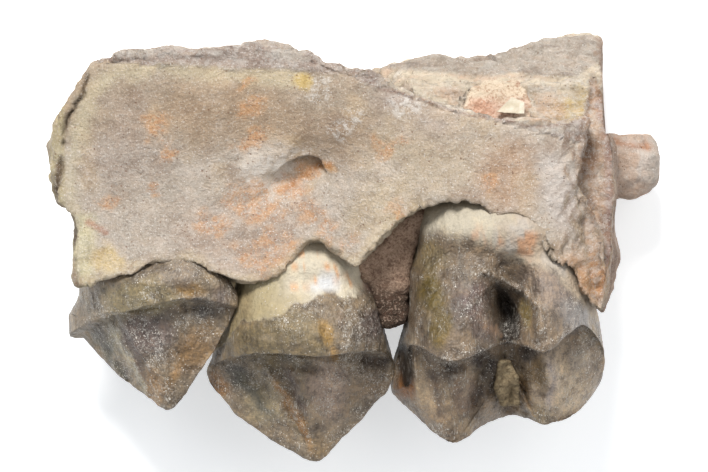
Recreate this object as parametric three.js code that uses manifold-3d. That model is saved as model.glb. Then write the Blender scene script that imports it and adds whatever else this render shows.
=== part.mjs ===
// A piece of an oreodont's upper jaw with three cheek teeth: two premolars and a molar.
// It lies on its outer side. X runs along the tooth row from the front of the mouth to the back,
// Y runs from the tooth tips towards the middle of the palate, and Z is up, in millimetres.
// Each tooth is built upright in a frame of its own: x along the row, y towards the tongue,
// z towards its tips, with z = 0 at its neck. It is then laid over onto its outer side.

import * as THREE from 'three';
import { mergeVertices } from 'three/addons/utils/BufferGeometryUtils.js';
import Module from 'manifold-3d';

const wasm = await Module();
wasm.setup();

// Driving dimensions
const LAID_OVER = THREE.MathUtils.degToRad(70); // turn that lays the upright teeth on their side
const FIT_GAP = 0.35; // space between a tooth, or sediment, and the bone round it
const PLATE_THICKNESS = 3.4; // palate
const THICKENED_PALATE = 5; // how much thicker it is round the molar
const THICKENED = { fromX: 2, toX: 6, fromY: 9, toY: 6 };
const WALL_THICKNESS = 3.8; // outer side of the face
const MARGIN_FRONT = 13.5; // height of the palate at the edge round the premolars
const MARGIN_RISE = 3.0; // how much higher that edge lies round the molar
const VAULT_RISE = 2.3; // the palate's rise towards the middle of the mouth
const END_FALL = 1.6; // how far the palate falls again towards either broken end
const FRONT_END = { from: 13, to: 20 }; // distance to the front over which it falls
const BACK_END = { from: 12, to: 16.5 };
const MARGIN_CLIMB = { from: -5, to: 6 }; // X over which the palate's edge rises to the molar
const VAULT = { from: 1, to: 12, fadeFrom: -3, fadeTo: 8, fade: 0.7 };
const ROOF_HEIGHT = 11.4; // broken floor of the nose behind the palate
const ROOF_LINE = 11.0; // Y where that floor turns down to the outer side
const ROOF_SLOPE = 2.3;
const NOSE_RISE = 0.85; // slope of the nose's floor up to the palate's broken edge
const NOSE_RISE_LENGTH = 3;
const SOCKET_TOP = 10.6; // the bone round the roots stands lower than the palate over it
const GROOVE_HALF_WIDTH = 0.85; // groove of the palate's artery
const GROOVE_DEPTH = 1.5;
const REST_SPOT = { x: 0.5, y: 3.0, halfLength: 9, halfWidth: 4.6 }; // flat part of the outer side
const REST_EDGE_LIFT = 0.25; // step up round the flat part
const OUTER_SIDE_RISE = 0.42; // slope of the outer side from the flat part up to the teeth
const OUTER_SIDE_CURVE = 0.16; // slope in the other directions
const BACK_BREAK_SLOPE = 0.16; // slant of the broken back end
const BACK_BREAK_TOP = 15;
const CHEEKBONE = { x: 18, y: 5.3, top: 7.2, bottom: 2.0, halfLength: 2.2, halfWidth: 2.3 };
const POCKET_FILL_BELOW = 0.5; // sediment's surface under the rim of its pocket
const POCKET_DEPTH = 4;
const BETWEEN_TEETH_FILL = { top: 12.3, bottom: 7.0, slope: 0.3 }; // heights of the sediment beside the molar
const OPEN_BESIDE_MOLAR = 14.3; // height up to which the bone over that sediment is gone
const SPLINTER_TILT = 0.35; // rise of the white splinter along X
const CRUMB_THICKNESS = 0.6; // sediment left between the molar's outer cusps

// Fineness of the carved surfaces
const CELL = 1.55;
const BREAK_ROUGHNESS = 0.28; // how far a broken edge wanders
const BREAK_LUMPS = { alongX: 2.1, alongY: 2.3 };
const UNEVEN = {
  palate: { seed: 0, size: 3.1, height: 0.22 },
  face: { seed: 4, size: 2.4, height: 0.2 },
  pocket: { seed: 2, size: 0.9, height: 0.25 },
  betweenTeeth: { seed: 3, size: 1.1, height: 0.2 },
  restEdge: { seed: 9, size: 2.7, height: 1 },
};
const BLANK = { low: -3, high: 21, layers: 9 };

// Outlines of the bone as seen from above, X and Y
const PALATE_OUTLINE = [
  [-19.6, 2.9], [-19.8, 4.6], [-20.0, 6.6], [-19.4, 8.5], [-18.3, 10.4], [-17.3, 12.0],
  [-15.2, 12.7], [-13.7, 12.6], [-12.1, 13.0], [-10.4, 12.8], [-8.2, 13.0], [-6.2, 13.2],
  [-4.2, 12.9], [-2.4, 12.2], [-0.6, 11.6], [0.9, 11.3], [2.6, 10.4], [4.2, 9.6],
  [6.2, 9.0], [8.2, 8.5], [10.6, 8.2], [13.0, 8.1], [15.2, 8.2], [14.8, 6.8],
  [14.6, 4.4], [14.9, 2.7], [15.7, 1.2], [16.1, -0.6], [16.4, -2.7], [16.0, -4.2],
  [15.0, -2.9], [13.7, -1.3], [12.7, -0.2], [11.8, 1.3], [10.6, 1.9], [9.2, 2.1],
  [7.6, 3.1], [5.8, 3.3], [4.4, 2.9], [3.2, 2.1], [2.2, 1.0], [1.2, 0.0],
  [0.0, -1.1], [-1.2, -0.4], [-2.2, 0.5], [-3.1, 0.6], [-3.9, -0.2], [-4.6, -1.7],
  [-6.0, -2.4], [-7.6, -2.4], [-9.2, -1.9], [-10.5, -1.2], [-11.8, -0.8], [-13.2, -1.0],
  [-14.6, -1.8], [-16.4, -1.8], [-18.1, -2.5], [-18.3, -0.6], [-18.2, 1.8], [-18.6, 2.4],
];
const SOCKET_OUTLINE = [
  [-18.4, 2.6], [-15.0, 3.7], [-6.0, 3.9], [3.0, 4.2], [6.5, 5.0], [11.0, 7.0],
  [15.5, 8.0], [15.3, 5.6], [15.1, 3.0], [15.0, 0.6], [15.2, -1.6], [15.5, -2.7],
  [15.5, -3.9], [13.2, -1.8], [9.4, -1.0], [5.6, -0.6], [3.4, 0.8], [1.6, 0.8],
  [0.2, -0.6], [-1.0, -2.4], [-3.4, -2.6], [-7.2, -2.6], [-11.0, -1.8], [-15.0, -2.1],
  [-17.9, -2.4],
];
const FACE_OUTLINE = [
  [-18.3, 2.7], [-18.9, 6.3], [-18.1, 9.8], [-15.5, 11.2], [-10.2, 11.8], [-3.7, 11.5],
  [1.0, 11.1], [2.9, 11.9], [5.6, 12.6], [7.2, 12.3], [8.8, 12.3], [10.6, 12.9],
  [12.8, 13.5], [15.1, 13.9], [16.1, 13.6], [16.2, 11.3], [16.6, 9.6], [16.6, 7.8],
  [17.0, 6.4], [17.1, 3.1], [16.9, 1.2], [17.0, -0.2], [16.5, -2.3], [16.0, -3.7],
  [14.2, -3.2], [11.4, -2.6], [8.0, -2.5], [4.4, -2.7], [1.8, -3.6], [-1.4, -4.4],
  [-5.0, -4.4], [-8.0, -3.4], [-11.0, -2.4], [-14.4, -2.3], [-17.6, -2.0], [-18.3, 0.1],
];
const CHEEKBONE_OUTLINE = [
  [15.6, 7.0], [16.9, 7.1], [18.1, 7.4], [19.4, 7.5], [19.9, 6.9], [20.0, 5.4],
  [19.9, 4.2], [19.2, 3.6], [18.2, 3.1], [17.0, 3.4], [15.6, 3.8],
];
const GROOVE_LINE = [[-9.6, 2.4], [-6.6, 3.5], [-4.4, 4.3], [-2.6, 5.3]];

// Outlines of the sediment and the splinter
const POCKET_OUTLINE = [
  [7.4, 9.2], [7.9, 10.0], [8.6, 10.4], [10.6, 10.4], [11.2, 9.5], [11.3, 8.0], [8.8, 8.0],
];
const SINUS_OUTLINE = [
  [-17.6, 4.9], [-17.9, 6.6], [-17.2, 9.4], [-15.0, 11.0], [-10.4, 11.5], [-5.8, 11.3],
  [-1.4, 10.9], [0.2, 10.0], [0.5, 7.0], [0.2, 5.5], [-6.0, 5.1], [-12.0, 5.0],
];
const BETWEEN_TEETH_OUTLINE = [
  [-0.3, -3.3], [-0.1, -2.2], [0.7, -0.9], [1.6, -0.1], [2.6, 1.0], [3.6, 1.8],
  [4.8, 2.4], [5.4, 1.6], [4.6, 0.2], [3.9, -1.2], [3.6, -4.4], [2.2, -4.9], [0.8, -4.6],
];
const SPLINTER_OUTLINE = [[9.2, 8.85], [10.3, 9.85], [11.1, 9.5], [11.1, 8.7]];
const CRUMB_OUTLINE = [[9.5, -7.5], [10.1, -7.5], [10.7, -9.0], [10.7, -10.3], [9.7, -10.3], [9.2, -9.2]];

// Teeth. The rim is the closed line of crests and cusp tips round the biting surface,
// from the back of the tooth along its tongue side to the front, and back along its outer side.
const FRONT_PREMOLAR = {
  name: 'front_premolar',
  sectors: 32,
  at: [-13.2, -2.1, 9.6],
  turn: 24,
  neck: { back: 4.8, tongue: 2.9, front: 5.3, outer: 3.0 },
  bulge: 0.6,
  rootDepth: 5.6,
  heart: [0.2, -0.6],
  rim: [
    [5.8, -0.5, 1.9], [4.6, 1.3, 2.3], [2.9, 2.3, 2.6], [0.6, 2.7, 2.9], [-2.2, 1.9, 2.9],
    [-4.4, 0.7, 2.5], [-6.8, -1.2, 1.2], [-5.1, -2.2, 3.7], [-3.2, -2.4, 5.8], [-1.2, -2.5, 7.5],
    [0.1, -2.5, 8.3], [1.6, -2.3, 6.9], [3.2, -1.9, 5.2], [4.6, -1.3, 3.6],
  ],
  ribs: [[[0.1, -2.4, 8.1], [-1.6, 0.9, 3.4]]],
};
const REAR_PREMOLAR = {
  name: 'rear_premolar',
  sectors: 36,
  at: [-3.5, -4.5, 9.5],
  turn: 0,
  neck: { back: 5.2, tongue: 4.2, front: 4.7, outer: 4.4 },
  bulge: 0.8,
  rootDepth: 6.6,
  heart: [0, -1.2],
  rim: [
    [6.0, -2.0, 2.6], [5.2, 0.7, 2.8], [3.4, 2.9, 3.6], [1.0, 4.0, 4.3], [-2.4, 3.2, 3.8],
    [-4.6, 1.0, 3.3], [-6.3, -2.2, 3.1], [-5.4, -2.9, 4.6], [-3.6, -3.4, 6.3], [-1.3, -3.7, 7.8],
    [1.0, -3.8, 8.8], [2.8, -3.6, 7.1], [4.5, -3.2, 5.4], [5.8, -2.6, 3.9],
  ],
  ribs: [[[1.0, -3.7, 8.6], [-0.4, 0.6, 3.6]]],
};
const MOLAR = {
  name: 'molar',
  sectors: 50,
  at: [9.7, -1.9, 11.2],
  turn: 0,
  neck: { back: 5.7, tongue: 5.2, front: 6.1, outer: 5.4 },
  bulge: 0.75,
  rootDepth: 7.0,
  heart: [-0.1, -1.9],
  rim: [
    [6.5, -4.2, 5.4], [6.6, -1.6, 4.5], [5.3, 1.6, 4.0], [4.1, 3.4, 5.4], [2.6, 4.2, 6.8],
    [1.3, 2.8, 5.9], [0.2, 0.6, 4.8], [-0.8, 2.2, 5.8], [-2.2, 4.1, 7.1], [-3.6, 4.3, 7.5],
    [-5.2, 3.0, 6.2], [-6.1, 0.8, 5.1], [-6.4, -2.2, 4.9], [-7.35, -5.7, 5.7], [-5.4, -4.4, 8.4],
    [-3.3, -3.4, 10.4], [-1.5, -3.9, 9.2], [0.3, -5.3, 7.9], [1.6, -4.3, 8.4], [2.9, -3.5, 9.1],
    [4.6, -3.9, 8.2], [5.8, -4.5, 6.8],
  ],
  ribs: [
    [[-3.3, -3.4, 10.2], [-3.0, 1.2, 4.4]],
    [[2.8, -3.5, 8.9], [2.8, 1.2, 4.0]],
  ],
  hollow: { x: 0.6, halfWidth: 1.1, depth: 2.2 },
};
const TEETH = [FRONT_PREMOLAR, REAR_PREMOLAR, MOLAR];
const CROWN_RINGS = 6;
const WALL_RINGS = 4;
const ROOT_RINGS = 3;
const INNER_SLOPE = 1.45; // fall of the biting surface from its crests, rise over run
const HEART_DEPTH = 2.6; // lowest part of the biting surface above the neck
const ROOT_TAPER = 0.28; // how much narrower a root ends than the neck
const NECK_SQUARENESS = 0.07; // how far the neck's section bulges past an ellipse at its corners

// Materials
const materials = {
  bone: new THREE.MeshStandardMaterial({ color: 0xb9a893, roughness: 0.85, metalness: 0 }),
  enamel: new THREE.MeshStandardMaterial({ color: 0x6f6353, roughness: 0.4, metalness: 0 }),
  sediment: new THREE.MeshStandardMaterial({ color: 0xc7a58f, roughness: 0.95, metalness: 0 }),
  darkSediment: new THREE.MeshStandardMaterial({ color: 0x6e5548, roughness: 0.95, metalness: 0 }),
  splinter: new THREE.MeshStandardMaterial({ color: 0xe0d9c6, roughness: 0.6, metalness: 0 }),
};

// Small tools
const { clamp, lerp, smoothstep } = THREE.MathUtils;

function hash(i, j, k) {
  const s = Math.sin(i * 127.1 + j * 311.7 + k * 74.7) * 43758.5453;
  return s - Math.floor(s);
}

// Smooth noise from -1 to 1 with lumps about one cell across
function lumps(x, y, z, cell) {
  const [i, j, k] = [x, y, z].map((v) => Math.floor(v / cell));
  const [u, v, w] = [x, y, z].map((c) => smoothstep(c / cell - Math.floor(c / cell), 0, 1));
  const edge = (dj, dk) => lerp(hash(i, j + dj, k + dk), hash(i + 1, j + dj, k + dk), u);
  const face = (dk) => lerp(edge(0, dk), edge(1, dk), v);
  return lerp(face(0), face(1), w) * 2 - 1;
}

function uneven(x, y, { seed, size, height }) {
  return height * lumps(x, y, seed, size);
}

function moveVertices(geometry, move) {
  const position = geometry.getAttribute('position');
  const p = new THREE.Vector3();
  for (let i = 0; i < position.count; i++) {
    p.fromBufferAttribute(position, i);
    move(p, i);
    position.setXYZ(i, p.x, p.y, p.z);
  }
  return geometry;
}

function toSolid(geometry) {
  const bare = new THREE.BufferGeometry();
  bare.setAttribute('position', geometry.getAttribute('position').clone());
  if (geometry.index) bare.setIndex(geometry.index.clone());
  const merged = mergeVertices(bare, 1e-4);
  return new wasm.Manifold(new wasm.Mesh({
    numProp: 3,
    vertProperties: merged.getAttribute('position').array,
    triVerts: new Uint32Array(merged.index.array),
  }));
}

function toGeometry(solid) {
  const mesh = solid.getMesh();
  const geometry = new THREE.BufferGeometry();
  geometry.setAttribute('position', new THREE.BufferAttribute(new Float32Array(mesh.vertProperties), 3));
  geometry.setIndex(new THREE.BufferAttribute(new Uint32Array(mesh.triVerts), 1));
  geometry.computeVertexNormals();
  return geometry;
}

function largestPiece(solid) {
  return solid.decompose().sort((a, b) => b.volume() - a.volume())[0];
}

function namedMesh(name, solid, material) {
  const mesh = new THREE.Mesh(toGeometry(solid), material);
  mesh.name = name;
  return mesh;
}

// Distance from a point to a line of points, and how far along the line the nearest place is
function nearestOnLine(x, y, line) {
  let best = { distance: Infinity, along: 0 };
  for (let i = 0; i + 1 < line.length; i++) {
    const [ax, ay] = line[i];
    const [dx, dy] = [line[i + 1][0] - ax, line[i + 1][1] - ay];
    const t = clamp(((x - ax) * dx + (y - ay) * dy) / (dx * dx + dy * dy), 0, 1);
    const distance = Math.hypot(x - ax - dx * t, y - ay - dy * t);
    if (distance < best.distance) best = { distance, along: (i + t) / (line.length - 1) };
  }
  return best;
}

// Moves an outline outwards by a distance
function grown(outline, distance) {
  const clockwise = THREE.ShapeUtils.isClockWise(outline.map((p) => new THREE.Vector2(...p)));
  const outwards = clockwise ? -distance : distance;
  return outline.map(([x, y], i) => {
    const [beforeX, beforeY] = outline[(i + outline.length - 1) % outline.length];
    const [afterX, afterY] = outline[(i + 1) % outline.length];
    const [dx, dy] = [afterX - beforeX, afterY - beforeY];
    const length = Math.hypot(dx, dy);
    return [x + (outwards * dy) / length, y - (outwards * dx) / length];
  });
}

// A solid with an outline seen from above, a carved upper and lower surface and broken sides
function slab({ outline, top, bottom, roughness = BREAK_ROUGHNESS, cell = CELL, slant = () => 0 }) {
  const shape = new THREE.Shape(outline.map(([x, y]) => new THREE.Vector2(x, y)));
  const depth = BLANK.high - BLANK.low;
  const sides = new THREE.ExtrudeGeometry(shape, { depth, steps: BLANK.layers, bevelEnabled: false });
  sides.translate(0, 0, BLANK.low);
  moveVertices(sides, (p) => {
    const [x, y] = [p.x, p.y];
    p.x += lumps(x, y, p.z, BREAK_LUMPS.alongX) * roughness + slant(x, y, p.z);
    p.y += lumps(x + 50, y, p.z, BREAK_LUMPS.alongY) * roughness;
  });
  const bounds = new THREE.Box2().setFromPoints(shape.getPoints()).expandByScalar(2 * cell);
  const size = bounds.getSize(new THREE.Vector2());
  const middle = bounds.getCenter(new THREE.Vector2());
  const counts = [Math.ceil(size.x / cell), Math.ceil(size.y / cell)];
  const block = new THREE.BoxGeometry(size.x, size.y, 2, counts[0], counts[1], 1);
  block.translate(middle.x, middle.y, 0);
  moveVertices(block, (p) => {
    p.z = p.z > 0 ? top(p.x, p.y) : bottom(p.x, p.y);
  });
  return toSolid(block).intersect(toSolid(sides));
}

// Surfaces of the bone
function grooveDepth(x, y) {
  const { distance, along } = nearestOnLine(x, y, GROOVE_LINE);
  const width = GROOVE_HALF_WIDTH * (0.8 + 0.5 * along);
  return GROOVE_DEPTH * smoothstep(along, -0.2, 0.95) * Math.exp(-((distance / width) ** 2));
}

function palateTop(x, y) {
  const frontEnd = END_FALL * smoothstep(-x, FRONT_END.from, FRONT_END.to);
  const backEnd = END_FALL * smoothstep(x, BACK_END.from, BACK_END.to);
  const margin = MARGIN_FRONT + MARGIN_RISE * smoothstep(x, MARGIN_CLIMB.from, MARGIN_CLIMB.to);
  const fade = 1 - VAULT.fade * smoothstep(x, VAULT.fadeFrom, VAULT.fadeTo);
  const vault = VAULT_RISE * smoothstep(y, VAULT.from, VAULT.to) * fade;
  return margin + vault - frontEnd - backEnd - grooveDepth(x, y) + uneven(x, y, UNEVEN.palate);
}

function palateUnderside(x, y) {
  const { fromX, toX, fromY, toY } = THICKENED;
  const roundMolar = smoothstep(x, fromX, toX) * smoothstep(-y, -fromY, -toY);
  return palateTop(x, y) - PLATE_THICKNESS - THICKENED_PALATE * roundMolar;
}

function outerSide(x, y) {
  const { x: cx, y: cy, halfLength, halfWidth } = REST_SPOT;
  const past = [Math.max(0, Math.abs(x - cx) - halfLength), Math.max(0, y - cy - halfWidth)];
  const toTeeth = Math.max(0, cy - halfWidth - y) * OUTER_SIDE_RISE;
  const away = OUTER_SIDE_CURVE * Math.hypot(...past) + toTeeth;
  return away + REST_EDGE_LIFT * smoothstep(away, 0, 0.5) * (1 + uneven(x, y, UNEVEN.restEdge));
}

function faceTop(x, y) {
  const inNose = smoothstep(x, 1.2, 3.4);
  const fall = ROOF_SLOPE * Math.max(0, y - ROOF_LINE);
  const rise = NOSE_RISE * clamp(ROOF_LINE - y, 0, NOSE_RISE_LENGTH);
  const roof = ROOF_HEIGHT - fall + rise;
  const wall = outerSide(x, y) + WALL_THICKNESS;
  return lerp(wall, roof, inNose) + uneven(x, y, UNEVEN.face);
}

// The back end is broken on a slant, lower parts reaching further back
function backEndSlant(x, y, z) {
  return smoothstep(x, 12, 15) * smoothstep(y, -6, 0) * (BACK_BREAK_TOP - z) * BACK_BREAK_SLOPE;
}

// Teeth
function neckRadius({ neck }, angle) {
  const [c, s] = [Math.cos(angle), Math.sin(angle)];
  const [a, b] = [c > 0 ? neck.back : neck.front, s > 0 ? neck.tongue : neck.outer];
  return 1 / Math.hypot(c / a, s / b) / (1 - NECK_SQUARENESS * Math.sin(2 * angle) ** 2);
}

// Height of the biting surface: it falls from every crest and rib like a ridge tent
function bitingHeight(x, y, crests) {
  let height = HEART_DEPTH;
  for (const c of crests) {
    height = Math.max(height, c.z - INNER_SLOPE * Math.hypot(x - c.x, y - c.y));
  }
  return height;
}

// Rings of a ball, moved in turn onto the biting surface, the walls of the crown and the root
function toothGeometry(tooth, grow = 0) {
  const { sectors, bulge, rootDepth, hollow } = tooth;
  const rings = CROWN_RINGS + WALL_RINGS + ROOT_RINGS;
  const rimPoints = tooth.rim.map((p) => new THREE.Vector3(...p));
  const rim = new THREE.CatmullRomCurve3(rimPoints, true, 'catmullrom', 0.5);
  const crests = rim.getPoints(160);
  for (const [from, to] of tooth.ribs) {
    for (let t = 0; t <= 1; t += 0.1) {
      crests.push(new THREE.Vector3(...from).lerp(new THREE.Vector3(...to), t));
    }
  }
  const [heartX, heartY] = tooth.heart;
  const geometry = new THREE.SphereGeometry(1, sectors, rings);
  moveVertices(geometry, (p, i) => {
    const around = (i % (sectors + 1)) / sectors;
    const ring = Math.floor(i / (sectors + 1));
    const edge = rim.getPoint(around % 1);
    const angle = Math.atan2(edge.y - heartY, edge.x - heartX);
    const neck = neckRadius(tooth, angle);
    const [neckX, neckY] = [neck * Math.cos(angle), neck * Math.sin(angle)];
    if (ring <= CROWN_RINGS) {
      const t = (ring / CROWN_RINGS) ** 0.8;
      p.set(lerp(heartX, edge.x, t), lerp(heartY, edge.y, t), 0);
      p.z = ring === CROWN_RINGS ? edge.z : bitingHeight(p.x, p.y, crests);
    } else if (ring <= CROWN_RINGS + WALL_RINGS) {
      const t = (ring - CROWN_RINGS) / WALL_RINGS;
      const out = bulge * Math.sin(angle) ** 2 * Math.sin(Math.PI * t ** 0.8);
      p.x = lerp(edge.x, neckX, t ** 1.2) + out * Math.cos(angle);
      p.y = lerp(edge.y, neckY, t ** 1.2) + out * Math.sin(angle);
      p.z = lerp(edge.z, 0, t);
      if (hollow && p.y > 0) {
        const across = (p.x - hollow.x) / hollow.halfWidth;
        p.y -= hollow.depth * Math.exp(-(across ** 2)) * Math.sin(Math.PI * t) ** 2;
      }
    } else {
      const t = (ring - CROWN_RINGS - WALL_RINGS) / ROOT_RINGS;
      const shrink = t < 1 ? 1 - ROOT_TAPER * t : 0;
      p.set(neckX * shrink, neckY * shrink, -rootDepth * Math.min(1, t * 1.5));
    }
  });
  if (grow) {
    const { back, tongue } = tooth.neck;
    geometry.scale(1 + grow / back, 1 + grow / tongue, 1 + grow / rootDepth);
  }
  geometry.rotateZ(THREE.MathUtils.degToRad(tooth.turn));
  geometry.rotateX(LAID_OVER);
  geometry.translate(...tooth.at);
  return geometry;
}

// The jaw bone: palate, tooth sockets, outer side of the face and the stump of the cheekbone
function jawBone() {
  const palate = slab({ outline: PALATE_OUTLINE, top: palateTop, bottom: palateUnderside, slant: backEndSlant });
  const sockets = slab({
    outline: SOCKET_OUTLINE,
    top: () => SOCKET_TOP,
    bottom: (x, y) => outerSide(x, y) + 1,
    slant: backEndSlant,
  });
  const face = slab({ outline: FACE_OUTLINE, top: faceTop, bottom: outerSide });
  const { x: cx, y: cy, halfLength, halfWidth, top, bottom } = CHEEKBONE;
  const rounding = (x, y) => Math.hypot((Math.max(x, cx) - cx) / halfLength, (y - cy) / halfWidth) ** 4;
  const cheekbone = slab({
    outline: CHEEKBONE_OUTLINE,
    top: (x, y) => top - 1.2 * rounding(x, y),
    bottom: (x, y) => bottom + 0.8 * rounding(x, y),
  });
  let bone = palate.add(sockets).add(face).add(cheekbone);
  for (const tooth of TEETH) {
    bone = bone.subtract(toSolid(toothGeometry(tooth, FIT_GAP)));
  }
  return largestPiece(bone.subtract(pocketHole()).subtract(betweenTeethFill(FIT_GAP, OPEN_BESIDE_MOLAR)));
}

// Open pocket in the floor of the nose, and the pink sediment in it
function pocketHole() {
  return slab({
    outline: grown(POCKET_OUTLINE, FIT_GAP),
    top: () => ROOF_HEIGHT + 4,
    bottom: () => ROOF_HEIGHT - POCKET_DEPTH - FIT_GAP,
    roughness: 0,
  });
}

function pocketTop(x, y) {
  return faceTop(x, y) - POCKET_FILL_BELOW + uneven(x, y, UNEVEN.pocket);
}

function pocketSediment() {
  return slab({
    outline: POCKET_OUTLINE,
    top: pocketTop,
    bottom: () => ROOF_HEIGHT - POCKET_DEPTH,
    roughness: 0,
  });
}

// White splinter of bone on the pocket's sediment
function boneSplinter() {
  const underside = (x, y) => pocketTop(x, y) + 2 * FIT_GAP + SPLINTER_TILT * (x - 9.4);
  return slab({
    outline: SPLINTER_OUTLINE,
    top: (x, y) => underside(x, y) + 0.5,
    bottom: underside,
    roughness: 0.05,
    cell: CELL / 2,
  });
}

// Sediment that fills the sinus between the palate and the outer side of the face
function sinusSediment() {
  return largestPiece(slab({
    outline: SINUS_OUTLINE,
    top: (x, y) => palateUnderside(x, y) - FIT_GAP,
    bottom: (x, y) => faceTop(x, y) + FIT_GAP,
  }));
}

// Dark sediment left between the rear premolar and the molar
function betweenTeethFill(grow = 0, openTo = 0) {
  const { top, bottom, slope } = BETWEEN_TEETH_FILL;
  return slab({
    outline: grow ? grown(BETWEEN_TEETH_OUTLINE, grow) : BETWEEN_TEETH_OUTLINE,
    top: (x, y) => Math.max(openTo, top + grow + slope * y + uneven(x, y, UNEVEN.betweenTeeth)),
    bottom: () => bottom - grow,
    roughness: 0,
    cell: 0.7 * CELL,
  });
}

function betweenTeethSediment() {
  let fill = betweenTeethFill();
  for (const tooth of [REAR_PREMOLAR, MOLAR]) {
    fill = fill.subtract(toSolid(toothGeometry(tooth, FIT_GAP)));
  }
  return largestPiece(fill);
}

// Crumb of sediment that lies between the molar's outer cusps
function grooveSediment(molar) {
  const ray = new THREE.Raycaster();
  const down = new THREE.Vector3(0, 0, -1);
  const heightAt = (x, y) => {
    ray.set(new THREE.Vector3(x, y, BLANK.high), down);
    const hit = ray.intersectObject(molar)[0];
    return hit ? hit.point.z : 0;
  };
  const near = [-FIT_GAP, 0, FIT_GAP];
  const highestNear = (x, y) => Math.max(...near.flatMap((dx) => near.map((dy) => heightAt(x + dx, y + dy))));
  return slab({
    outline: CRUMB_OUTLINE,
    top: (x, y) => highestNear(x, y) + FIT_GAP + CRUMB_THICKNESS,
    bottom: (x, y) => highestNear(x, y) + FIT_GAP,
    roughness: 0,
    cell: CELL / 3,
  });
}

const jaw = new THREE.Group();
jaw.add(namedMesh('jaw_bone', jawBone(), materials.bone));
const teeth = TEETH.map((tooth) => namedMesh(tooth.name, toSolid(toothGeometry(tooth)), materials.enamel));
jaw.add(...teeth);
jaw.add(namedMesh('pocket_sediment', pocketSediment(), materials.sediment));
jaw.add(namedMesh('bone_splinter', boneSplinter(), materials.splinter));
jaw.add(namedMesh('sinus_sediment', sinusSediment(), materials.sediment));
jaw.add(namedMesh('between_teeth_sediment', betweenTeethSediment(), materials.darkSediment));
jaw.add(namedMesh('groove_sediment', grooveSediment(teeth[2]), materials.sediment));

// The origin is under the middle of the object, on the surface that it lies on
const box = new THREE.Box3().setFromObject(jaw);
const middle = box.getCenter(new THREE.Vector3());
jaw.position.set(-middle.x, -middle.y, -box.min.z);

export default jaw;
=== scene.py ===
"""Fossil oreodont jaw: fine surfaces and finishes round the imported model.

Lengths below are in millimetres in the model's own frame, and MM turns them into metres.
The camera looks straight down, so X runs to the right of the picture and Y up it.
"""
import math

import bpy
import numpy as np
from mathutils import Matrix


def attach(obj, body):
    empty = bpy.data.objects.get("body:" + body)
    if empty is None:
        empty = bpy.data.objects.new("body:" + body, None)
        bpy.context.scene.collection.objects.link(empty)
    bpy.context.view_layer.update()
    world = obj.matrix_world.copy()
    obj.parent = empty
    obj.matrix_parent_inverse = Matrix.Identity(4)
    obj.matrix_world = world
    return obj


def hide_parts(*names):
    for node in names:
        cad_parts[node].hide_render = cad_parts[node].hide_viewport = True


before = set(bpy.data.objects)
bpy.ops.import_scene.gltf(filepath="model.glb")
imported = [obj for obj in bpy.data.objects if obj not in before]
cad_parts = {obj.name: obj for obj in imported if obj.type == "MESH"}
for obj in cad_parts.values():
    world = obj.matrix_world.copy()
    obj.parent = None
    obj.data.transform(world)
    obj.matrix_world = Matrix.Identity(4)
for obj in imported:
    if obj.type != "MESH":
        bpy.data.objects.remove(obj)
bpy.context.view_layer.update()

MM = 0.001
SHIFT = np.array([-0.02, -0.04, 0.0])  # from the outlines' own origin to the model's
SMOOTHING = (0.5, -0.51)  # share of the way to the neighbours' middle, in and back out


# Camera, light and floor

VIEW_WIDTH = 46.58  # breadth of the object's plane that the picture shows
VIEW_CENTRE = (-0.10, 0.69)
VIEW_HEIGHT = 10.0  # height of that plane
CAMERA_DISTANCE = 900.0
SENSOR_WIDTH = 36.0
SKY_COLOUR = (0.95, 0.97, 1.0, 1.0)
SKY_STRENGTH = 0.6
LIGHTS = (  # name, place in metres, diameter in metres, watts and colour
    ("key", (-0.06, 0.30, 0.36), 0.16, 2.9, (1.0, 0.985, 0.96)),
    ("fill", (0.25, 0.10, 0.42), 0.35, 0.5, (1.0, 0.98, 0.95)),
)
FLOOR_HALF = 1.2  # metres from the floor's middle to its edge
FLOOR_COLOUR = (0.9, 0.91, 0.92, 1)
FLOOR_ROUGHNESS = 0.8
FLOOR_GLOW_COLOUR = (0.95, 0.98, 1.0, 1)
FLOOR_GLOW = 0.38


def make_camera():
    data = bpy.data.cameras.new("camera")
    data.sensor_width = SENSOR_WIDTH
    data.lens = SENSOR_WIDTH * CAMERA_DISTANCE / VIEW_WIDTH
    data.clip_start = 0.01
    data.clip_end = 20.0
    camera = bpy.data.objects.new("camera", data)
    camera.location = (VIEW_CENTRE[0] * MM, VIEW_CENTRE[1] * MM, (CAMERA_DISTANCE + VIEW_HEIGHT) * MM)
    bpy.context.scene.collection.objects.link(camera)
    bpy.context.scene.camera = camera


def area_light(name, place, size, watts, colour):
    data = bpy.data.lights.new(name, "AREA")
    data.shape = "DISK"
    data.size = size
    data.energy = watts
    data.color = colour
    light = bpy.data.objects.new(name, data)
    light.location = place
    aim = -light.location
    light.rotation_euler = aim.to_track_quat("-Z", "Y").to_euler()
    bpy.context.scene.collection.objects.link(light)


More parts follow.
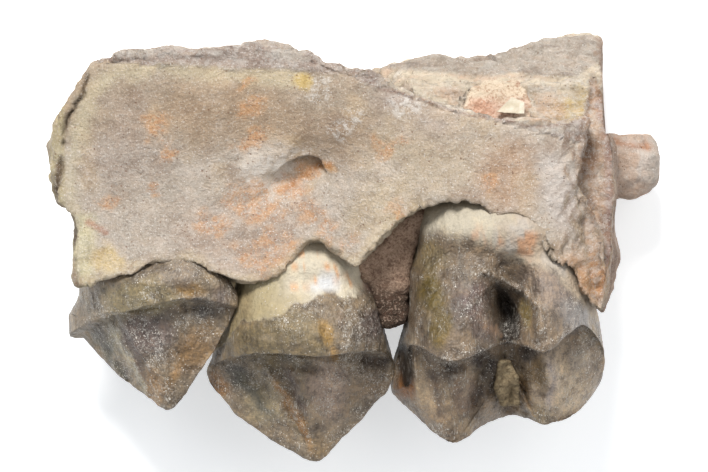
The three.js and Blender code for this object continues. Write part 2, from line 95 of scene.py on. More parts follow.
def make_studio():
    world = bpy.data.worlds.new("studio")
    world.use_nodes = True
    background = world.node_tree.nodes["Background"]
    background.inputs["Color"].default_value = SKY_COLOUR
    background.inputs["Strength"].default_value = SKY_STRENGTH
    bpy.context.scene.world = world
    for light in LIGHTS:
        area_light(*light)
    bpy.context.scene.view_settings.view_transform = "Standard"
    mesh = bpy.data.meshes.new("floor")
    corners = [(x * FLOOR_HALF, y * FLOOR_HALF, 0) for x, y in ((-1, -1), (1, -1), (1, 1), (-1, 1))]
    mesh.from_pydata(corners, [], [(0, 1, 2, 3)])
    floor = bpy.data.objects.new("floor", mesh)
    bpy.context.scene.collection.objects.link(floor)
    material = bpy.data.materials.new("floor")
    material.use_nodes = True
    shader = material.node_tree.nodes["Principled BSDF"]
    shader.inputs["Base Color"].default_value = FLOOR_COLOUR
    shader.inputs["Roughness"].default_value = FLOOR_ROUGHNESS
    shader.inputs["Emission Color"].default_value = FLOOR_GLOW_COLOUR
    shader.inputs["Emission Strength"].default_value = FLOOR_GLOW
    mesh.materials.append(material)


# Noise and shapes as arrays


def hashed(ix, iy, iz, seed):
    """A fixed scattered value from 0 to 1 for every whole-numbered cell."""
    mask = 0xFFFFFFFF
    h = (ix * 374761393 + iy * 668265263 + iz * 1440662683 + seed * 362437) & mask
    h = ((h ^ (h >> 13)) * 1274126177) & mask
    return ((h ^ (h >> 16)) & 0xFFFFFF) / 0xFFFFFF


def noise(p, size, seed=0):
    """Smooth noise from -1 to 1 with lumps about size millimetres across."""
    q = p / size
    cell = np.floor(q).astype(np.int64)
    f = q - cell
    f = f * f * (3 - 2 * f)
    total = np.zeros(len(p))
    for dx in (0, 1):
        for dy in (0, 1):
            for dz in (0, 1):
                weight = np.abs(1 - dx - f[:, 0]) * np.abs(1 - dy - f[:, 1]) * np.abs(1 - dz - f[:, 2])
                total += weight * hashed(cell[:, 0] + dx, cell[:, 1] + dy, cell[:, 2] + dz, seed)
    return total * 2 - 1


def fractal(p, size, octaves=4, seed=0):
    """Noise with finer and finer lumps, each octave half as strong as the one before."""
    total = np.zeros(len(p))
    strength = 1.0
    for octave in range(octaves):
        total += strength * noise(p, size / 2**octave, seed + octave)
        strength *= 0.5
    return total


def pits(p, size, seed=0):
    """1 in the middle of scattered round pits, falling to 0 between them."""
    q = p / size
    cell = np.floor(q).astype(np.int64)
    nearest = np.full(len(p), 9.0)
    for dx in (-1, 0, 1):
        for dy in (-1, 0, 1):
            for dz in (-1, 0, 1):
                at = cell + np.array([dx, dy, dz])
                place = np.stack([hashed(*at.T, seed + k) for k in range(3)], 1)
                nearest = np.minimum(nearest, np.linalg.norm(at + place - q, axis=1))
    return np.clip(1 - nearest / 0.5, 0, 1)


def step(x, low, high):
    """0 below low and 1 above high, with a smooth rise between."""
    t = np.clip((x - low) / (high - low), 0, 1)
    return t * t * (3 - 2 * t)


def line_distance(p, line):
    """Distance in plan to a line of points, how far along it the nearest place is, and the side."""
    best = np.full(len(p), 1e9)
    place = np.zeros(len(p))
    side = np.zeros(len(p))
    line = np.array(line) + SHIFT[:2]
    for i in range(len(line) - 1):
        a, d = line[i], line[i + 1] - line[i]
        r = p[:, :2] - a
        t = np.clip(r @ d / (d @ d), 0, 1)
        distance = np.linalg.norm(r - t[:, None] * d, axis=1)
        closer = distance < best
        best = np.where(closer, distance, best)
        place = np.where(closer, (i + t) / (len(line) - 1), place)
        side = np.where(closer, np.sign(d[0] * r[:, 1] - d[1] * r[:, 0]), side)
    return best, place, side


def spot(p, x, y, radius, stretch=1.0, turn=0.0, ragged=0.35, seed=0):
    """Mask of a ragged patch seen from above."""
    dx, dy = p[:, 0] - x - SHIFT[0], p[:, 1] - y - SHIFT[1]
    c, s = math.cos(math.radians(turn)), math.sin(math.radians(turn))
    u, v = (dx * c + dy * s) / stretch, -dx * s + dy * c
    rough = ragged * radius * fractal(p, 0.8 * radius + 0.3, 3, seed + 31)
    return 1 - step(np.hypot(u, v) + rough, 0.35 * radius, 1.15 * radius)


def inside(p, outline):
    """1 inside an outline seen from above."""
    x, y = p[:, 0] - SHIFT[0], p[:, 1] - SHIFT[1]
    odd = np.zeros(len(p), bool)
    for (ax, ay), (bx, by) in zip(outline, outline[1:] + outline[:1]):
        crosses = (ay > y) != (by > y)
        height = by - ay if by != ay else 1e-9
        odd ^= crosses & (x < (bx - ax) * (y - ay) / height + ax)
    return odd.astype(float)


def soft_inside(p, outline, blur, seed):
    """1 inside an outline seen from above, fading over a ragged border."""
    total = np.zeros(len(p))
    for k in range(4):
        ragged_x = fractal(p + 9.7 * k, 0.5, 3, seed + k)
        ragged_y = fractal(p - 7.3 * k, 0.5, 3, seed + k + 50)
        turn = math.radians(90 * k)
        aside = blur * np.array([math.cos(turn), math.sin(turn)])
        q = p[:, :2] + 0.6 * blur * np.stack([ragged_x, ragged_y], 1) + aside
        total += inside(q, outline)
    return total / 4


def srgb(red, green, blue):
    """A colour of 0 to 255 as linear light."""
    c = np.array([red, green, blue]) / 255
    return np.where(c <= 0.04045, c / 12.92, ((c + 0.055) / 1.055) ** 2.4)


BAND_SHARE = 0.85


class Coat:
    """Colour of every vertex of a piece, laid on in patches."""

    def __init__(self, count, base):
        self.colour = np.tile(srgb(*base), (count, 1))

    def lay(self, mask, colour, strength=1.0):
        share = (np.clip(mask, 0, 1) * strength)[:, None]
        self.colour = self.colour * (1 - share) + srgb(*colour) * share

    def shade(self, factor):
        self.colour = self.colour * np.reshape(factor, (-1, 1))

    def patches(self, p, rows, mask=1.0):
        """Ragged patches: x, y, radius, stretch, turn, raggedness, seed, colour and share."""
        for *place, colour, share in rows:
            self.lay(mask * spot(p, *place), colour, share)

    def bands(self, p, rows, seed):
        """Stripes that wander along lines and fade at their ends: line, half width and colour."""
        wander = p + 0.2 * noise(p, 0.7, seed)[:, None]
        for line, width, colour in rows:
            distance, place, _ = line_distance(wander, line)
            ends = np.clip(np.minimum(place, 1 - place) / 0.2, 0, 1)
            self.lay(ends * np.exp(-((distance / width) ** 2)), colour, BAND_SHARE)


def set_attribute(mesh, name, kind, values):
    attribute = mesh.attributes.new(name, kind, "POINT")
    if kind == "FLOAT_COLOR":
        full = np.ones((len(values), 4), np.float32)
        full[:, :3] = values
        attribute.data.foreach_set("color", full.ravel())
    else:
        attribute.data.foreach_set("value", values.astype(np.float32))


def points_of(mesh):
    co = np.zeros(len(mesh.vertices) * 3, np.float32)
    mesh.vertices.foreach_get("co", co)
    return co.reshape(-1, 3).astype(float) / MM


def set_points(mesh, points):
    mesh.vertices.foreach_set("co", (points * MM).astype(np.float32).ravel())
    mesh.update()


def normals_of(mesh):
    values = np.zeros(len(mesh.vertices) * 3, np.float32)
    mesh.vertex_normals.foreach_get("vector", values)
    return values.reshape(-1, 3).astype(float)


def relaxed(mesh, rounds):
    """Points of a mesh after smoothing that keeps its volume."""
    edges = np.zeros(len(mesh.edges) * 2, np.int64)
    mesh.edges.foreach_get("vertices", edges)
    a, b = edges.reshape(-1, 2).T
    points = points_of(mesh)
    count = len(points)
    degree = np.maximum(np.bincount(np.concatenate([a, b]), minlength=count), 1)
    for _ in range(rounds):
        for share in SMOOTHING:
            total = [np.bincount(a, q[b], count) + np.bincount(b, q[a], count) for q in points.T]
            points = points + share * (np.stack(total, 1) / degree[:, None] - points)
    return points


def fine_copy(node, name, voxel):
    """A copy of a node's solid on a fine even grid."""
    piece = bpy.data.objects.new(name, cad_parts[node].data.copy())
    bpy.context.scene.collection.objects.link(piece)
    remesh = piece.modifiers.new("fine", "REMESH")
    remesh.mode = "VOXEL"
    remesh.voxel_size = voxel * MM
    fine = bpy.data.meshes.new_from_object(piece.evaluated_get(bpy.context.evaluated_depsgraph_get()))
    piece.modifiers.clear()
    piece.data = fine
    fine.materials.clear()
    return piece


def settle(piece, node, material, coat, extra=()):
    """Gives a piece its finish and puts it in the place of its node."""
    mesh = piece.data
    set_attribute(mesh, "coat", "FLOAT_COLOR", coat.colour)
    for name, values in extra:
        set_attribute(mesh, name, "FLOAT", values)
    mesh.materials.append(material)
    mesh.polygons.foreach_set("use_smooth", [True] * len(mesh.polygons))
    mesh.update()
    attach(piece, "root")
    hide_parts(node)


# Materials


class Nodes:
    """Short hand for building a material's nodes."""

    def __init__(self, name):
        self.material = bpy.data.materials.new(name)
        self.material.use_nodes = True
        self.tree = self.material.node_tree
        self.shader = self.tree.nodes["Principled BSDF"]
        self.place = self.new("ShaderNodeTexCoord").outputs["Object"]

    def new(self, kind, **values):
        node = self.tree.nodes.new(kind)
        for key, value in values.items():
            setattr(node, key, value)
        return node

    def link(self, source, target):
        if hasattr(source, "is_output"):
            self.tree.links.new(source, target)
        else:
            target.default_value = source

    def attribute(self, name, output):
        return self.new("ShaderNodeAttribute", attribute_name=name).outputs[output]

    def stretched(self, scale, turn=(0, 0, 0)):
        mapping = self.new("ShaderNodeMapping")
        mapping.inputs["Scale"].default_value = scale
        mapping.inputs["Rotation"].default_value = [math.radians(a) for a in turn]
        self.link(self.place, mapping.inputs["Vector"])
        return mapping.outputs["Vector"]

    def noise(self, size, detail=3.0, roughness=0.6, place=None):
        texture = self.new("ShaderNodeTexNoise")
        self.link(self.place if place is None else place, texture.inputs["Vector"])
        texture.inputs["Scale"].default_value = 1 / (size * MM)
        texture.inputs["Detail"].default_value = detail
        texture.inputs["Roughness"].default_value = roughness
        return texture.outputs["Fac"]

    def span(self, value, low, high, to_low=0.0, to_high=1.0):
        node = self.new("ShaderNodeMapRange", interpolation_type="SMOOTHSTEP")
        for source, name in ((value, "Value"), (low, "From Min"), (high, "From Max")):
            self.link(source, node.inputs[name])
        node.inputs["To Min"].default_value = to_low
        node.inputs["To Max"].default_value = to_high
        return node.outputs["Result"]

    def math(self, operation, a, b):
        node = self.new("ShaderNodeMath", operation=operation)
        self.link(a, node.inputs[0])
        self.link(b, node.inputs[1])
        return node.outputs[0]

    def mix(self, share, a, b, blend="MIX"):
        node = self.new("ShaderNodeMix", data_type="RGBA", blend_type=blend)
        self.link(share, node.inputs[0])
        self.link(a, node.inputs[6])
        self.link(b, node.inputs[7])
        return node.outputs[2]

    def bump(self, height, depth, below=None):
        node = self.new("ShaderNodeBump")
        node.inputs["Strength"].default_value = 1.0
        node.inputs["Distance"].default_value = depth * MM
        self.link(height, node.inputs["Height"])
        if below is not None:
            self.link(below, node.inputs["Normal"])
        return node.outputs["Normal"]

    def finish(self, colour, normal, roughness):
        self.link(colour, self.shader.inputs["Base Color"])
        self.link(normal, self.shader.inputs["Normal"])
        self.link(roughness, self.shader.inputs["Roughness"])
        return self.material


def colour4(red, green, blue):
    return (*srgb(red, green, blue), 1.0)


def terraced(x, steps):
    """Turns a slope into steps with rounded edges."""
    f = x * steps
    whole = np.floor(f)
    return (whole + step(f - whole, 0.3, 0.7)) / steps


def stippled(n, mask, size, least, most, strength=1.0):
    """Share of a colour that is stippled on, densely where the mask is 1 and hardly where it is 0."""
    value = n.math("ADD", n.noise(size, 5, 0.72), n.math("MULTIPLY", mask, least - most))
    return n.span(value, least, least + 0.05, 0, strength)


def dotted(n, mask, size, share):
    """Scattered dots of a colour: as many as share where the mask is 1, and hardly any where it is 0."""
    texture = n.new("ShaderNodeTexVoronoi", feature="F1")
    n.link(n.place, texture.inputs["Vector"])
    texture.inputs["Scale"].default_value = 1 / (size * MM)
    parts = n.new("ShaderNodeSeparateColor")
    n.link(texture.outputs["Color"], parts.inputs["Color"])
    chosen = n.math("LESS_THAN", parts.outputs["Red"], n.math("MULTIPLY", mask, share))
    radius = n.span(parts.outputs["Green"], 0.0, 1.0, 0.12, 0.42)
    near = n.math("LESS_THAN", texture.outputs["Distance"], radius)
    return n.math("MULTIPLY", chosen, near)


def bone_material():
    n = Nodes("mineralised bone")
    coat = n.attribute("coat", "Color")
    rough = n.attribute("rough", "Fac")
    cloud = n.noise(1.4, 6, 0.7)
    light = n.mix(1.0, coat, (1.1, 1.09, 1.08, 1), "MULTIPLY")
    dark = n.mix(1.0, coat, (0.72, 0.66, 0.61, 1), "MULTIPLY")
    darker = n.mix(1.0, coat, (0.52, 0.44, 0.39, 1), "MULTIPLY")
    colour = n.mix(n.span(cloud, 0.5, 0.62, 0, 0.6), coat, light)
    colour = n.mix(n.span(cloud, 0.5, 0.38, 0, 0.58), colour, dark)
    rust = n.attribute("rust", "Fac")
    ochre = n.math("MULTIPLY", rust, n.span(n.noise(0.7, 4, 0.7), 0.4, 0.62, 0.1, 0.75))
    colour = n.mix(ochre, colour, colour4(198, 150, 104))
    colour = n.mix(stippled(n, rust, 0.16, 0.68, 0.5, 0.45), colour, colour4(178, 114, 66))
    grain = n.noise(0.15, 4, 0.8)
    colour = n.mix(n.span(grain, 0.54, 0.64, 0, 0.4), colour, colour4(230, 222, 214))
    colour = n.mix(n.span(grain, 0.46, 0.36, 0, 0.45), colour, darker)
    white = n.attribute("white", "Fac")
    chalky = n.math("MULTIPLY", white, n.span(n.noise(0.5, 5, 0.7), 0.45, 0.6, 0, 0.5))
    colour = n.mix(chalky, colour, colour4(224, 220, 214))
    colour = n.mix(n.math("MULTIPLY", dotted(n, white, 0.1, 0.45), 0.6), colour, colour4(232, 228, 224))
    pitted = n.math("MULTIPLY", n.span(n.noise(1.1, 2, 0.5), 0.5, 0.66), 0.25)
    pit = dotted(n, pitted, 0.16, 1.0)
    colour = n.mix(n.math("MULTIPLY", pit, 0.6), colour, colour4(120, 84, 62))
    height = n.math("ADD", n.math("MULTIPLY", grain, 0.7), n.math("MULTIPLY", n.noise(0.5, 4, 0.6), 0.8))
    height = n.math("SUBTRACT", height, n.math("MULTIPLY", pit, 0.5))
    normal = n.bump(height, 0.13)
    normal = n.bump(n.math("MULTIPLY", n.noise(0.35, 5, 0.75), rough), 0.42, normal)
    n.shader.inputs["Specular IOR Level"].default_value = 0.28
    return n.finish(colour, normal, n.span(grain, 0.3, 0.7, 0.7, 0.92))


def enamel_material():
    n = Nodes("tooth enamel")
    coat = n.attribute("coat", "Color")
    root = n.attribute("root", "Fac")
    lively = n.math("SUBTRACT", 1.0, n.math("MULTIPLY", root, 0.75))
    light = n.mix(1.0, coat, (1.55, 1.45, 1.26, 1), "MULTIPLY")
    dark = n.mix(1.0, coat, (0.4, 0.38, 0.38, 1), "MULTIPLY")
    cloud = n.noise(1.1, 7, 0.7)
    streaks = n.noise(0.22, 4, 0.65, n.stretched((1.0, 0.14, 1.0), (0, 0, 14)))
    speckle = n.noise(0.12, 3, 0.75)
    colour = coat
    for pattern, spread, lighter, darker in (
        (cloud, 0.1, 0.65, 0.8), (streaks, 0.14, 0.25, 0.3), (speckle, 0.12, 0.3, 0.45),
    ):
        share = n.math("MULTIPLY", n.span(pattern, 0.51, 0.51 + spread, 0, lighter), lively)
        colour = n.mix(share, colour, light)
        share = n.math("MULTIPLY", n.span(pattern, 0.49, 0.49 - spread, 0, darker), lively)
        colour = n.mix(share, colour, dark)
    scratch_a = n.noise(0.1, 2, 0.5, n.stretched((1.0, 0.1, 1.0), (0, 0, 32)))
    scratch_b = n.noise(0.09, 2, 0.5, n.stretched((1.0, 0.12, 1.0), (0, 0, -38)))
    worn = n.span(n.noise(1.6, 3, 0.6), 0.46, 0.56)
    scratches = n.math("ADD", n.span(scratch_a, 0.62, 0.7), n.span(scratch_b, 0.62, 0.7))
    scratches = n.math("MULTIPLY", n.math("MULTIPLY", scratches, worn), n.attribute("wear", "Fac"))
    chalk = n.attribute("chalk", "Fac")
    dots = n.math("MAXIMUM", dotted(n, chalk, 0.13, 0.3), dotted(n, chalk, 0.075, 0.65))
    film = n.math("MULTIPLY", chalk, n.span(n.noise(0.35, 5, 0.75), 0.5, 0.66, 0, 0.5))
    white = n.math("MAXIMUM", n.math("MULTIPLY", scratches, 0.55), n.math("MULTIPLY", dots, 0.8))
    white = n.math("MAXIMUM", white, film)
    colour = n.mix(white, colour, colour4(216, 210, 200))
    height = n.math("ADD", n.math("MULTIPLY", n.noise(0.3, 4, 0.6), 0.8), n.math("MULTIPLY", streaks, 0.4))
    height = n.math("ADD", height, n.math("MULTIPLY", white, 0.25))
    normal = n.bump(height, 0.2)
    gloss = n.math("ADD", n.span(cloud, 0.35, 0.65, 0.27, 0.45), n.math("MULTIPLY", white, 0.35))
    gloss = n.math("ADD", gloss, n.math("MULTIPLY", root, 0.35))
    n.shader.inputs["Specular IOR Level"].default_value = 0.5
    return n.finish(colour, normal, gloss)


def sediment_material(name, dark, light, grain_size):
    n = Nodes(name)
    coat = n.attribute("coat", "Color")
    grain = n.noise(grain_size, 4, 0.75)
    colour = n.mix(n.span(grain, 0.52, 0.62, 0, 0.6), coat, colour4(*light))
    colour = n.mix(n.span(grain, 0.48, 0.38, 0, 0.65), colour, colour4(*dark))
    colour = n.mix(n.span(n.noise(0.6, 4, 0.6), 0.5, 0.38, 0, 0.5), colour, colour4(*dark))
    scattered = dotted(n, n.span(grain, 0.0, 1.0), 0.2, 0.25)
    colour = n.mix(n.math("MULTIPLY", scattered, 0.6), colour, colour4(*dark))
    normal = n.bump(n.math("ADD", grain, n.noise(0.4, 4, 0.7)), 0.22)
    n.shader.inputs["Specular IOR Level"].default_value = 0.2
    return n.finish(colour, normal, n.span(grain, 0.3, 0.7, 0.8, 0.97))


def splinter_material():
    n = Nodes("white splinter")
    cloud = n.span(n.noise(0.5, 4, 0.6), 0.4, 0.7)
    colour = n.mix(cloud, n.attribute("coat", "Color"), colour4(186, 178, 162))
    normal = n.bump(n.noise(0.2, 3, 0.6), 0.04)
    return n.finish(colour, normal, n.span(n.noise(0.3, 3, 0.5), 0.3, 0.7, 0.45, 0.65))


# Jaw bone

LEFT_CRACK = [
    (-17.5, 11.3), (-17.9, 10.0), (-18.3, 9.2), (-18.8, 8.5), (-19.0, 7.7), (-19.1, 6.8), (-19.4, 5.7),
    (-19.55, 4.6), (-19.6, 3.6),
]
RIM_BAND = [
    (-12.9, 11.9), (-9.6, 11.7), (-6.7, 11.5), (-3.8, 11.3), (-1.3, 11.2), (-0.3, 10.9),
    (1.0, 10.4), (2.9, 10.0), (4.9, 9.4), (6.1, 9.0), (8.1, 8.5),
]
BACK_EDGE = [
    (1.6, 10.4), (3.9, 9.8), (6.1, 9.0), (8.1, 8.5), (9.3, 8.5), (11.2, 7.9), (12.7, 7.9), (15.2, 8.5),
]
FORAMEN_RIM = [(-5.2, 4.9), (-4.5, 5.5), (-3.7, 5.9), (-3.0, 6.0), (-2.4, 5.8), (-2.1, 5.3)]
FORAMEN_RUST = [(-5.0, 3.6), (-4.3, 4.0), (-3.6, 4.5), (-3.0, 4.9), (-2.5, 5.3), (-1.7, 5.4)]
PALATE_GROOVE = [(-6.6, 3.4), (-5.4, 3.8), (-4.6, 4.2), (-3.6, 4.9), (-2.6, 5.5)]
CREAM_RIM = [
    (-18.6, 2.6), (-18.7, 5.0), (-18.2, 7.6), (-17.3, 9.8), (-15.8, 11.3), (-13.2, 11.8),
    (-10.0, 11.4), (-6.7, 11.1), (-3.8, 11.0),
]
MOLAR_SIDE_CRACK = [(11.8, 1.5), (12.3, 0.6), (12.6, 0.1), (13.0, -0.8), (14.0, -2.1)]
ROOF_CRACK = [(8.8, 12.4), (9.8, 11.9), (10.8, 11.4)]
CRACKS = (  # line, half width and depth
    (LEFT_CRACK, 0.1, 0.6),
    (MOLAR_SIDE_CRACK, 0.14, 0.5),
    (ROOF_CRACK, 0.12, 0.3),
    (BACK_EDGE, 0.12, 0.3),
)
STUMP_STRIPE = [(17.1, 6.9), (19.5, 6.5)]
ROOF_EDGE = [(1.6, 11.7), (5.0, 11.4), (8.8, 11.1), (10.6, 11.4), (11.6, 11.2), (14.4, 11.1), (16.0, 12.0)]
PALATE_MARGIN = [
    (-18.4, -2.5), (-14.8, -1.4), (-10.9, -1.0), (-7.9, -2.2), (-5.6, -2.8), (-3.7, -0.5), (-2.7, 0.2),
    (-1.7, -0.7), (0.3, -1.0), (2.0, 1.0), (4.0, 2.6),
]
JAW_GRID = 0.185
STUMP_TOP = 7.4
END_FACE_DEPTH = 0.5
FORAMEN_DEPTH = 0.55
SOCKET_ROOF = 14.7  # bone lower than this beside the molar is the socket's edge
SOCKET_EDGE_TOP = 12.2
REST_PLANE = 0.01
BONE_TONE = 0.93
END_FACE = [
    (15.6, 11.2), (16.2, 10.2), (16.5, 8.4), (16.9, 6.6), (17.0, 3.6), (17.0, -0.8), (16.6, -2.6),
    (16.0, -4.2), (15.4, -3.2), (15.1, -0.6), (14.8, 2.0), (14.6, 4.2), (14.6, 6.0), (14.9, 7.8), (15.3, 9.6),
]
END_RIDGE = [(16.1, 9.4), (16.3, 8.0), (16.6, 6.4), (16.7, 4.0), (16.7, 1.0), (16.6, -1.4)]
MOLAR_SOCKET_EDGE = [(2.6, 0.9), (3.6, 2.2), (5.2, 3.0), (5.6, 1.8), (4.8, -0.4), (4.3, -2.6), (3.1, -2.6)]
WHITE_SPOTS = [(-2.3, 10.2, 0.9), (-0.3, 8.6, 0.8), (-0.9, 7.6, 0.7), (3.4, 9.3, 1.1)]
RUST_SPOTS = [
    (-13.0, 8.3, 0.8), (-12.6, 7.0, 0.7), (-12.3, 6.0, 0.6), (-7.1, 10.7, 0.6), (-6.7, 9.4, 0.9),
    (-13.1, 3.8, 0.6), (-16.3, 2.9, 0.6), (-7.3, 3.1, 1.7), (-5.5, 2.4, 1.2), (-6.2, 0.1, 1.3),
    (-4.2, 0.3, 0.8), (-1.5, 1.3, 0.9), (-0.4, 0.6, 0.8), (2.0, 6.5, 0.9), (3.1, 6.9, 0.6),
    (-6.3, 7.2, 0.8), (-7.3, 6.5, 0.7), (-4.4, 4.1, 1.1), (-5.6, -1.0, 1.3), (8.6, 4.4, 0.7),
    (-9.0, 1.5, 1.2), (-2.9, 2.2, 1.0), (2.6, 2.6, 0.8), (-3.0, 4.9, 0.8),
]


def bone_shape(piece):
    """Breaks the smooth solid into flakes, ledges, cracks and pits."""
    mesh = piece.data
    set_points(mesh, relaxed(mesh, 12))
    p, n = points_of(mesh), normals_of(mesh)
    up = step(n[:, 2], 0.15, 0.55)
    wall = 1 - step(np.abs(n[:, 2]), 0.35, 0.75)
    under = step(-n[:, 2], 0.2, 0.6)
    # Flakes and ledges on the broken walls, fine grain elsewhere
    move = 0.11 * fractal(p, 1.9, 4, 3) * (0.35 + 0.65 * wall)
    flakes = p * np.array([0.33, 0.33, 1.0]) + 0.4 * noise(p, 2.5, 5)[:, None]
    ledges = noise(flakes, 0.62, 7) + 0.5 * noise(flakes, 0.3, 8)
    move += wall * (0.3 * np.tanh(2.2 * ledges) + 0.12 * fractal(p, 0.5, 3, 11))
    move += up * 0.03 * fractal(p * np.array([0.6, 1.0, 1.0]), 0.5, 3, 17)
    move += up * 0.02 * fractal(p, 0.28, 2, 18)
    move += under * 0.05 * fractal(p, 0.8, 4, 19)
    # Laminae on the floor of the nose, pits at the broken end
    distance, _, side = line_distance(p, BACK_EDGE)
    in_nose = up * (side > 0) * step(distance, 0.0, 0.3) * step(p[:, 0], 1.2, 2.5)
    grain = p @ np.array([[0.16, 0.0, 0.0], [0.22, 1.0, 0.0], [0.0, 0.0, 1.0]])
    laminae = fractal(grain, 0.8, 3, 23)
    move += in_nose * (0.34 * terraced(laminae, 3) + 0.08 * fractal(p, 0.35, 3, 24))
    end = up * step(p[:, 0], 12.4, 14.4)
    move += end * (0.2 * fractal(p, 0.7, 4, 29) - 0.35 * pits(p, 1.1, 31) ** 1.5)
    # Cracks
    top = p[:, 2] > 10.5
    wander = p + 0.25 * np.stack([noise(p, 0.7, seed) for seed in (37, 38, 39)], 1)
    for line, width, depth in CRACKS:
        distance, place, _ = line_distance(wander, line)
        taper = np.clip(np.sin(np.pi * np.clip(place, 0.02, 0.98)), 0, 1) ** 0.5
        move -= depth * taper * np.exp(-((distance / width) ** 2)) * top * step(n[:, 2], -0.1, 0.3)
    # Broken band along the palate's far rim
    distance, _, side = line_distance(p, RIM_BAND)
    band = up * top * step(p[:, 1], 8.4, 9.4) * (side > 0)
    move += band * step(distance, 0.0, 0.4) * (0.3 * terraced(fractal(grain, 1.1, 3, 41), 3) - 0.18)
    move += band * 0.1 * fractal(p, 0.4, 3, 43)
    # Foramen and the groove that leads to it
    distance, _, side = line_distance(p, FORAMEN_RIM)
    below = step(-side * distance, -0.08, 0.08)
    foramen = below * spot(p, -3.3, 5.3, 1.9, 1.2, 25, 0.1)
    move -= FORAMEN_DEPTH * up * top * np.exp(-((distance / 0.45) ** 2)) * foramen
    move += up * top * np.exp(-((distance / 0.25) ** 2)) * (1 - below) * 0.12
    distance, place, _ = line_distance(p, PALATE_GROOVE)
    move -= up * top * 0.18 * np.exp(-((distance / 0.4) ** 2)) * place
    # Pitted margin, sunk end face and trimmed stump
    margin = up * top * step(5.0 - p[:, 1], 0, 3.0)
    move -= margin * 0.22 * pits(p, 1.5, 47) ** 3 * step(noise(p, 2.0, 48), 0.0, 0.5)
    p[:, 2] -= END_FACE_DEPTH * up * soft_inside(p, END_FACE, 0.1, 109)
    on_stump = step(p[:, 0], 15.8, 16.6)
    p = p + n * (move * (1 - 0.6 * on_stump))[:, None]
    stump_top = STUMP_TOP + 0.1 * noise(p, 0.8, 49)
    p[:, 1] = np.where(on_stump > 0.5, np.minimum(p[:, 1], stump_top), p[:, 1])
    beside_molar = (inside(p, MOLAR_SOCKET_EDGE) > 0) & (p[:, 2] < SOCKET_ROOF)
    p[:, 2] = np.where(beside_molar, np.minimum(p[:, 2], SOCKET_EDGE_TOP), p[:, 2])
    p[:, 2] = np.maximum(p[:, 2], REST_PLANE)
    set_points(mesh, p)
    return piece


def near(p, line, ragged, low, high):
    """1 near a line seen from above; ragged moves the edge in or out at every point."""
    distance, _, _ = line_distance(p, line)
    return 1 - step(distance + ragged, low, high)


def palate_coat(coat, p, up, fine):
    """Colours of the palate; returns the mask of its darker half, away from the teeth."""
    broad = fractal(p, 5.0, 3, 51)
    upper = step(p[:, 1] + 1.3 * broad + 0.12 * p[:, 0], 3.4, 6.6) * step(-p[:, 0], -9.0, -4.0)
    coat.lay(upper, (166, 151, 132), 0.85)
    coat.lay(spot(p, -8.5, 8.0, 4.4, 1.9, -6, 0.3, 1) * upper, (168, 144, 118), 0.6)
    coat.patches(p, [
        (-15.0, 6.2, 2.8, 1.3, 60, 0.3, 2, (168, 153, 140), 0.75),
        (-0.5, 7.6, 3.0, 1.3, 0, 0.35, 3, (168, 146, 124), 0.6),
        (3.6, 8.8, 2.3, 1.5, -20, 0.35, 4, (178, 166, 158), 0.8),
        (5.0, 5.6, 3.2, 1.5, -12, 0.3, 5, (190, 174, 150), 0.6),
        (10.0, 4.6, 3.0, 1.2, 80, 0.3, 6, (172, 142, 116), 0.85),
        (13.4, 3.4, 3.4, 0.5, 10, 0.35, 7, (216, 206, 198), 0.85),
        (-8.0, 0.8, 3.6, 1.8, 8, 0.35, 8, (176, 158, 144), 0.65),
        (-14.5, 0.6, 2.4, 1.6, 0, 0.35, 9, (176, 166, 154), 0.65),
        (2.2, 2.9, 2.2, 1.5, 40, 0.35, 10, (200, 182, 152), 0.6),
    ])
    coat.lay(up * step(fractal(p, 2.2, 4, 107), 0.1, 0.9), (194, 170, 136), 0.4)
    coat.lay(step(fine, 0.35, 1.2), (208, 196, 184), 0.4)
    coat.lay(step(-fine, 0.35, 1.2), (150, 128, 110), 0.45)
    coat.lay(near(p, CREAM_RIM, 0.35 * fine, 0.0, 1.0), (200, 188, 160), 0.7)
    return upper


def rim_coat(coat, p, up, fine):
    """The broken band along the palate's far rim; returns its mask."""
    distance, _, side = line_distance(p, RIM_BAND)
    band = step(side * distance + 0.25 * fine, -0.05, 0.25) * up * step(p[:, 2], 10.5, 12)
    flake = fractal(p * np.array([0.35, 1, 1]), 0.7, 3, 54)
    coat.lay(band * step(distance, 0, 0.3), (184, 168, 158), 0.85)
    coat.lay(band * step(flake, 0.1, 0.6), (142, 118, 108), 0.6)
    coat.lay(band * step(distance, 0.5, 1.1) * step(-flake, 0.0, 0.6), (214, 204, 190), 0.7)
    coat.lay(up * spot(p, -3.3, 10.8, 0.6, 1.3, 0, 0.6, 91), (204, 176, 104), 0.75)
    return band


def nose_coat(coat, p, up):
    """The floor of the nose, behind the palate's back edge; returns its mask."""
    distance, _, side = line_distance(p, BACK_EDGE)
    nose = up * step(p[:, 0], 1.2, 2.4) * (side > 0) * step(distance, 0.0, 0.2)
    slanted = p @ np.array([[0.2, 0.0, 0.0], [0.22, 1.0, 0.0], [0.0, 0.0, 1.0]])
    coat.lay(nose, (228, 216, 194), 0.95)
    coat.lay(nose * step(fractal(slanted, 0.7, 3, 55), 0.1, 0.7), (222, 192, 168), 0.7)
    coat.lay(nose * step(-fractal(slanted, 0.8, 3, 56), 0.3, 0.9), (168, 146, 124), 0.65)
    coat.lay(nose * step(fractal(slanted, 0.6, 3, 58), 0.4, 0.9), (234, 230, 220), 0.7)
    coat.patches(p, [
        (14.2, 9.3, 1.0, 1.8, 25, 0.5, 57, (214, 188, 124), 0.75),
        (12.6, 8.9, 1.0, 1.6, 10, 0.5, 60, (216, 186, 160), 0.8),
    ], nose)
    return nose


